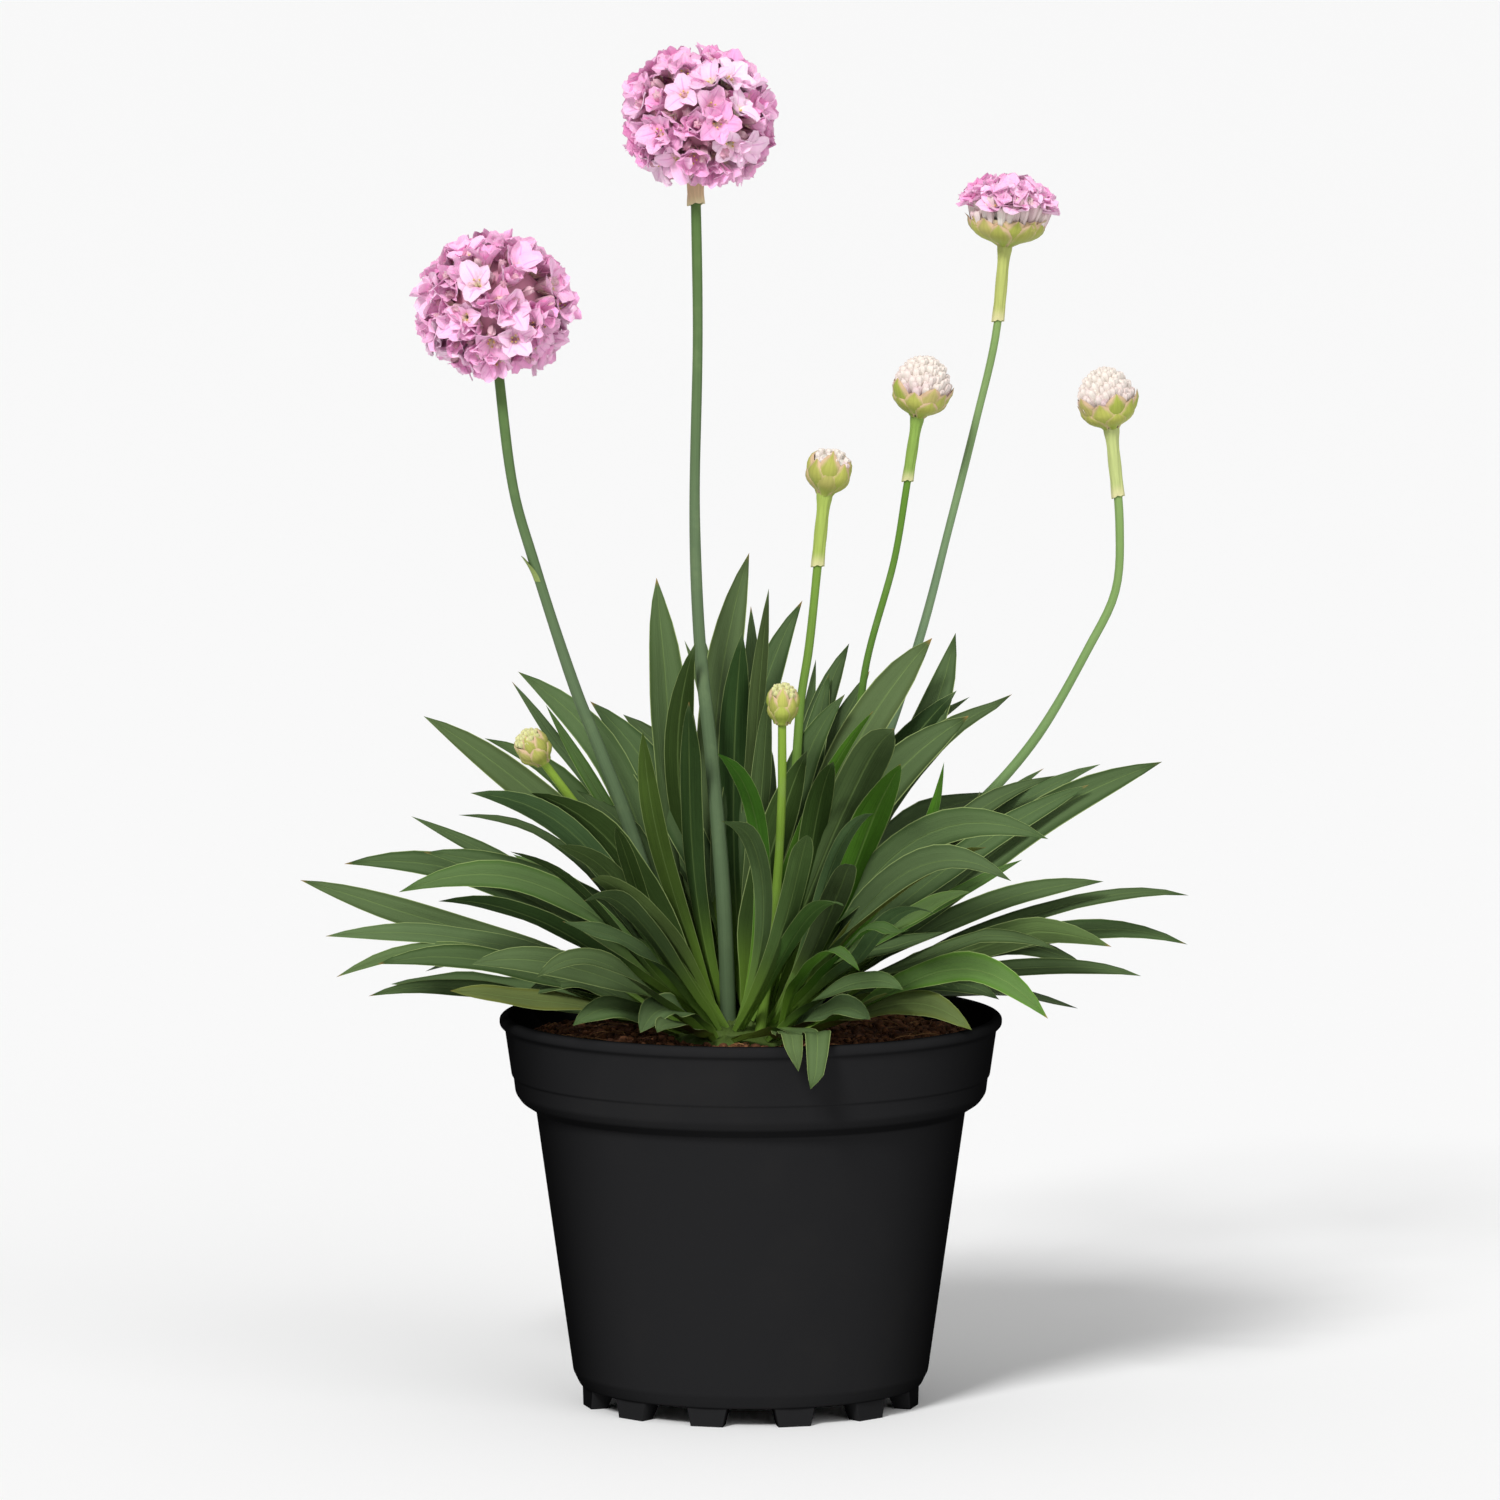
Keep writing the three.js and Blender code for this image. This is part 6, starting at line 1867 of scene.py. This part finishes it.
        bench.set(shell.make(f"{plant.name}_petals"), Slot.PETAL, f"{plant.name}_florets")
        papery = Shell()
        core = [(0, -14.5), (4, -14.2), (9, -11), (13, -6), (14.6, 0), (13, 6), (9, 11), (4, 13.8), (0, 14.3)]
        papery.add(plant.settle(lathe(core, 28) * 0.9 * ball + centre), tint=paint("#d592ad"), mark=0.3)
        heads = strewn(self.papery, -0.93, 0.06, rng)
        place = plant.settle(centre + heads * ball * 12.2)
        tint = blend("#d294ae", "#e6c4cc", rng.random((self.papery, 1)))
        size = rng.uniform(4.2, 6.2, self.papery), rng.uniform(1.0, 1.5, self.papery)
        self.calyces.add(papery, place, heads @ flat.T, *size, tint)
        bench.set(papery.make(f"{plant.name}_calyces"), Slot.CALYX)

    def bud(self, plant: Plant, seed: int, bench: Bench) -> None:
        """A head that isn't open yet: a dome of calyces in its cup and, on an opening one, a crest of petals.

        Args:
            plant: Whose head it is.
            seed: Of the draws.
            bench: Where the pieces are dressed.
        """
        rng = np.random.default_rng(seed)
        radius, rim, _, _ = self.cup(plant)
        opening = plant.stage is Stage.OPENING
        small = plant.stage is Stage.SMALL
        floor = rim * 0.25 + 1.2
        crest = plant.height * (0.78 if opening else 1.0) - 1.0
        inner = radius - 1.35
        wide = radius if opening or small else plant.width / 2 - 1.2
        dome = [(0, floor), (inner * 0.7, lerp(floor, rim, 0.42)), (inner, rim + 0.6)]
        dome += [(wide * 0.94, lerp(rim, crest, 0.35)), (wide * 0.66, lerp(rim, crest, 0.78))]
        dome.append((0, crest - 0.4))
        shell = Shell()
        green = plant.width < 9.5
        white = np.array(paint("#d3d68f" if green else "#ebe5da"))
        shell.add(plant.settle(lathe(rounded(dome, 1.2), 24)), tint=white * 0.9)
        count = 22 if small else 80
        ways = strewn(count, 0.0, 0.04, rng)
        reach = np.array([wide - 0.5, wide - 0.5, crest - rim])
        flat = frame_along(plant.axis)
        length = rng.uniform(5.4, 6.8, count) * (0.55 if small else 1.25 if opening else 1.0)
        lean = unit(ways * np.array([0.6, 0.6, 0.4]) + np.array([0, 0, 1.3]))
        lift = rim + (2.4 if opening else 0.6)
        foot = ways * reach - lean * length[:, None] * 0.78 + np.array([0, 0, lift])
        mauve = np.array(paint("#a9b455" if green else "#cfa3b4"))
        flush = (1 - ways[:, 2:]) ** 2 * rng.uniform(0.2, 0.9, (count, 1))
        tint = lerp(white, mauve, flush * 0.7)
        width = rng.uniform(1.0, 1.45, count) * (0.7 if small else 1.0)
        self.calyces.add(shell, plant.settle(foot), lean @ flat.T, length, width, tint)
        name = f"{plant.name}_florets"
        if not opening:
            bench.set(shell.make(f"{plant.name}_calyces"), Slot.CALYX, name)
            return
        column, up = (self.ring, 1), np.array([0, 0, 1.0])
        turn = np.arange(self.ring) * TAU / self.ring + rng.normal(scale=0.05, size=self.ring)
        around = polar(1.0, turn, 0.0)
        foot = around * (radius - 1.0) + up * rim * rng.uniform(0.5, 0.95, column)
        lean = unit(around * rng.uniform(0.15, 0.35, column) + up)
        tint = lerp(white, mauve, rng.uniform(0, 0.6, column))
        size = rng.uniform(4.4, 6.6, self.ring), rng.uniform(0.9, 1.4, self.ring)
        self.calyces.add(shell, plant.settle(foot), lean @ flat.T, *size, tint)
        bench.set(shell.make(f"{plant.name}_calyces"), Slot.CALYX)
        petals = Shell()
        ways = strewn(self.crest, 0.4, 0.05, rng)
        place = ways * (reach + np.array([2.4, 2.4, 1.0])) + np.array([0, 0, rim + 2.6])
        axes = unit(ways + np.array([0, 0, 0.35])) @ flat.T
        draws = [rng.uniform(low, high, self.crest) for low, high in ((7.0, 8.4), (0.65, 1.05), (0, TAU))]
        self.florets.add(petals, plant.settle(place), axes, *draws, rng)
        bench.set(petals.make(f"{plant.name}_petals"), Slot.PETAL, name)

    def build(self, bench: Bench) -> None:
        """Builds all cups and heads.

        Args:
            bench: Where the pieces are dressed.
        """
        for i, plant in enumerate(PLANTS):
            bench.set(self.bracts(plant, 60 + i), Slot.BRACT, f"{plant.name}_bracts")
            if plant.stage is Stage.BLOOM:
                self.bloom(plant, 40 + i, bench)
            else:
                self.bud(plant, 40 + i, bench)


@dataclass
class Studio:
    """Pale floor, even pale surroundings and two wide soft suns."""

    floor_radius: float = 14.0

    def build(self) -> None:
        """Makes the floor and the light."""
        shell = Shell()
        shell.add(lathe([(0, 0), (400, 0), (self.floor_radius / MM, 0)], 64))
        floor = shell.make("studio_floor")
        floor.data.flip_normals()
        if floor.data.polygons[0].normal.z < 0:
            floor.data.flip_normals()
        floor.data.materials.append(FloorFinish().make())
        world = bpy.data.worlds.new("studio")
        world.use_nodes = True
        world.node_tree.nodes["Background"].inputs["Color"].default_value = (1, 1, 1, 1)
        world.node_tree.nodes["Background"].inputs["Strength"].default_value = 0.4
        bpy.context.scene.world = world
        bpy.context.scene.view_settings.view_transform = "Standard"
        for name, turn, strength, angle in (("key", (50, 0, -24), 2.6, 14), ("fill", (62, 0, 34), 0.8, 50)):
            data = bpy.data.lights.new(name, "SUN")
            data.energy, data.angle = strength, math.radians(angle)
            light = bpy.data.objects.new(name, data)
            light.rotation_euler = [math.radians(t) for t in turn]
            bpy.context.scene.collection.objects.link(light)


def write_size() -> None:
    """Updates the view layer."""
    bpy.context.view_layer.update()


def main() -> None:
    """Builds the camera, the studio and every piece in order."""
    logging.basicConfig(level=logging.INFO, format="%(name)s: %(message)s")
    SIGHT.build()
    Studio().build()
    bench = Bench()
    bench.build()
    Pot().build(bench)
    Soil().build(bench)
    Foliage().build(bench)
    Stems().build(bench)
    Heads().build(bench)
    write_size()


if __name__ == "__main__":
    main()
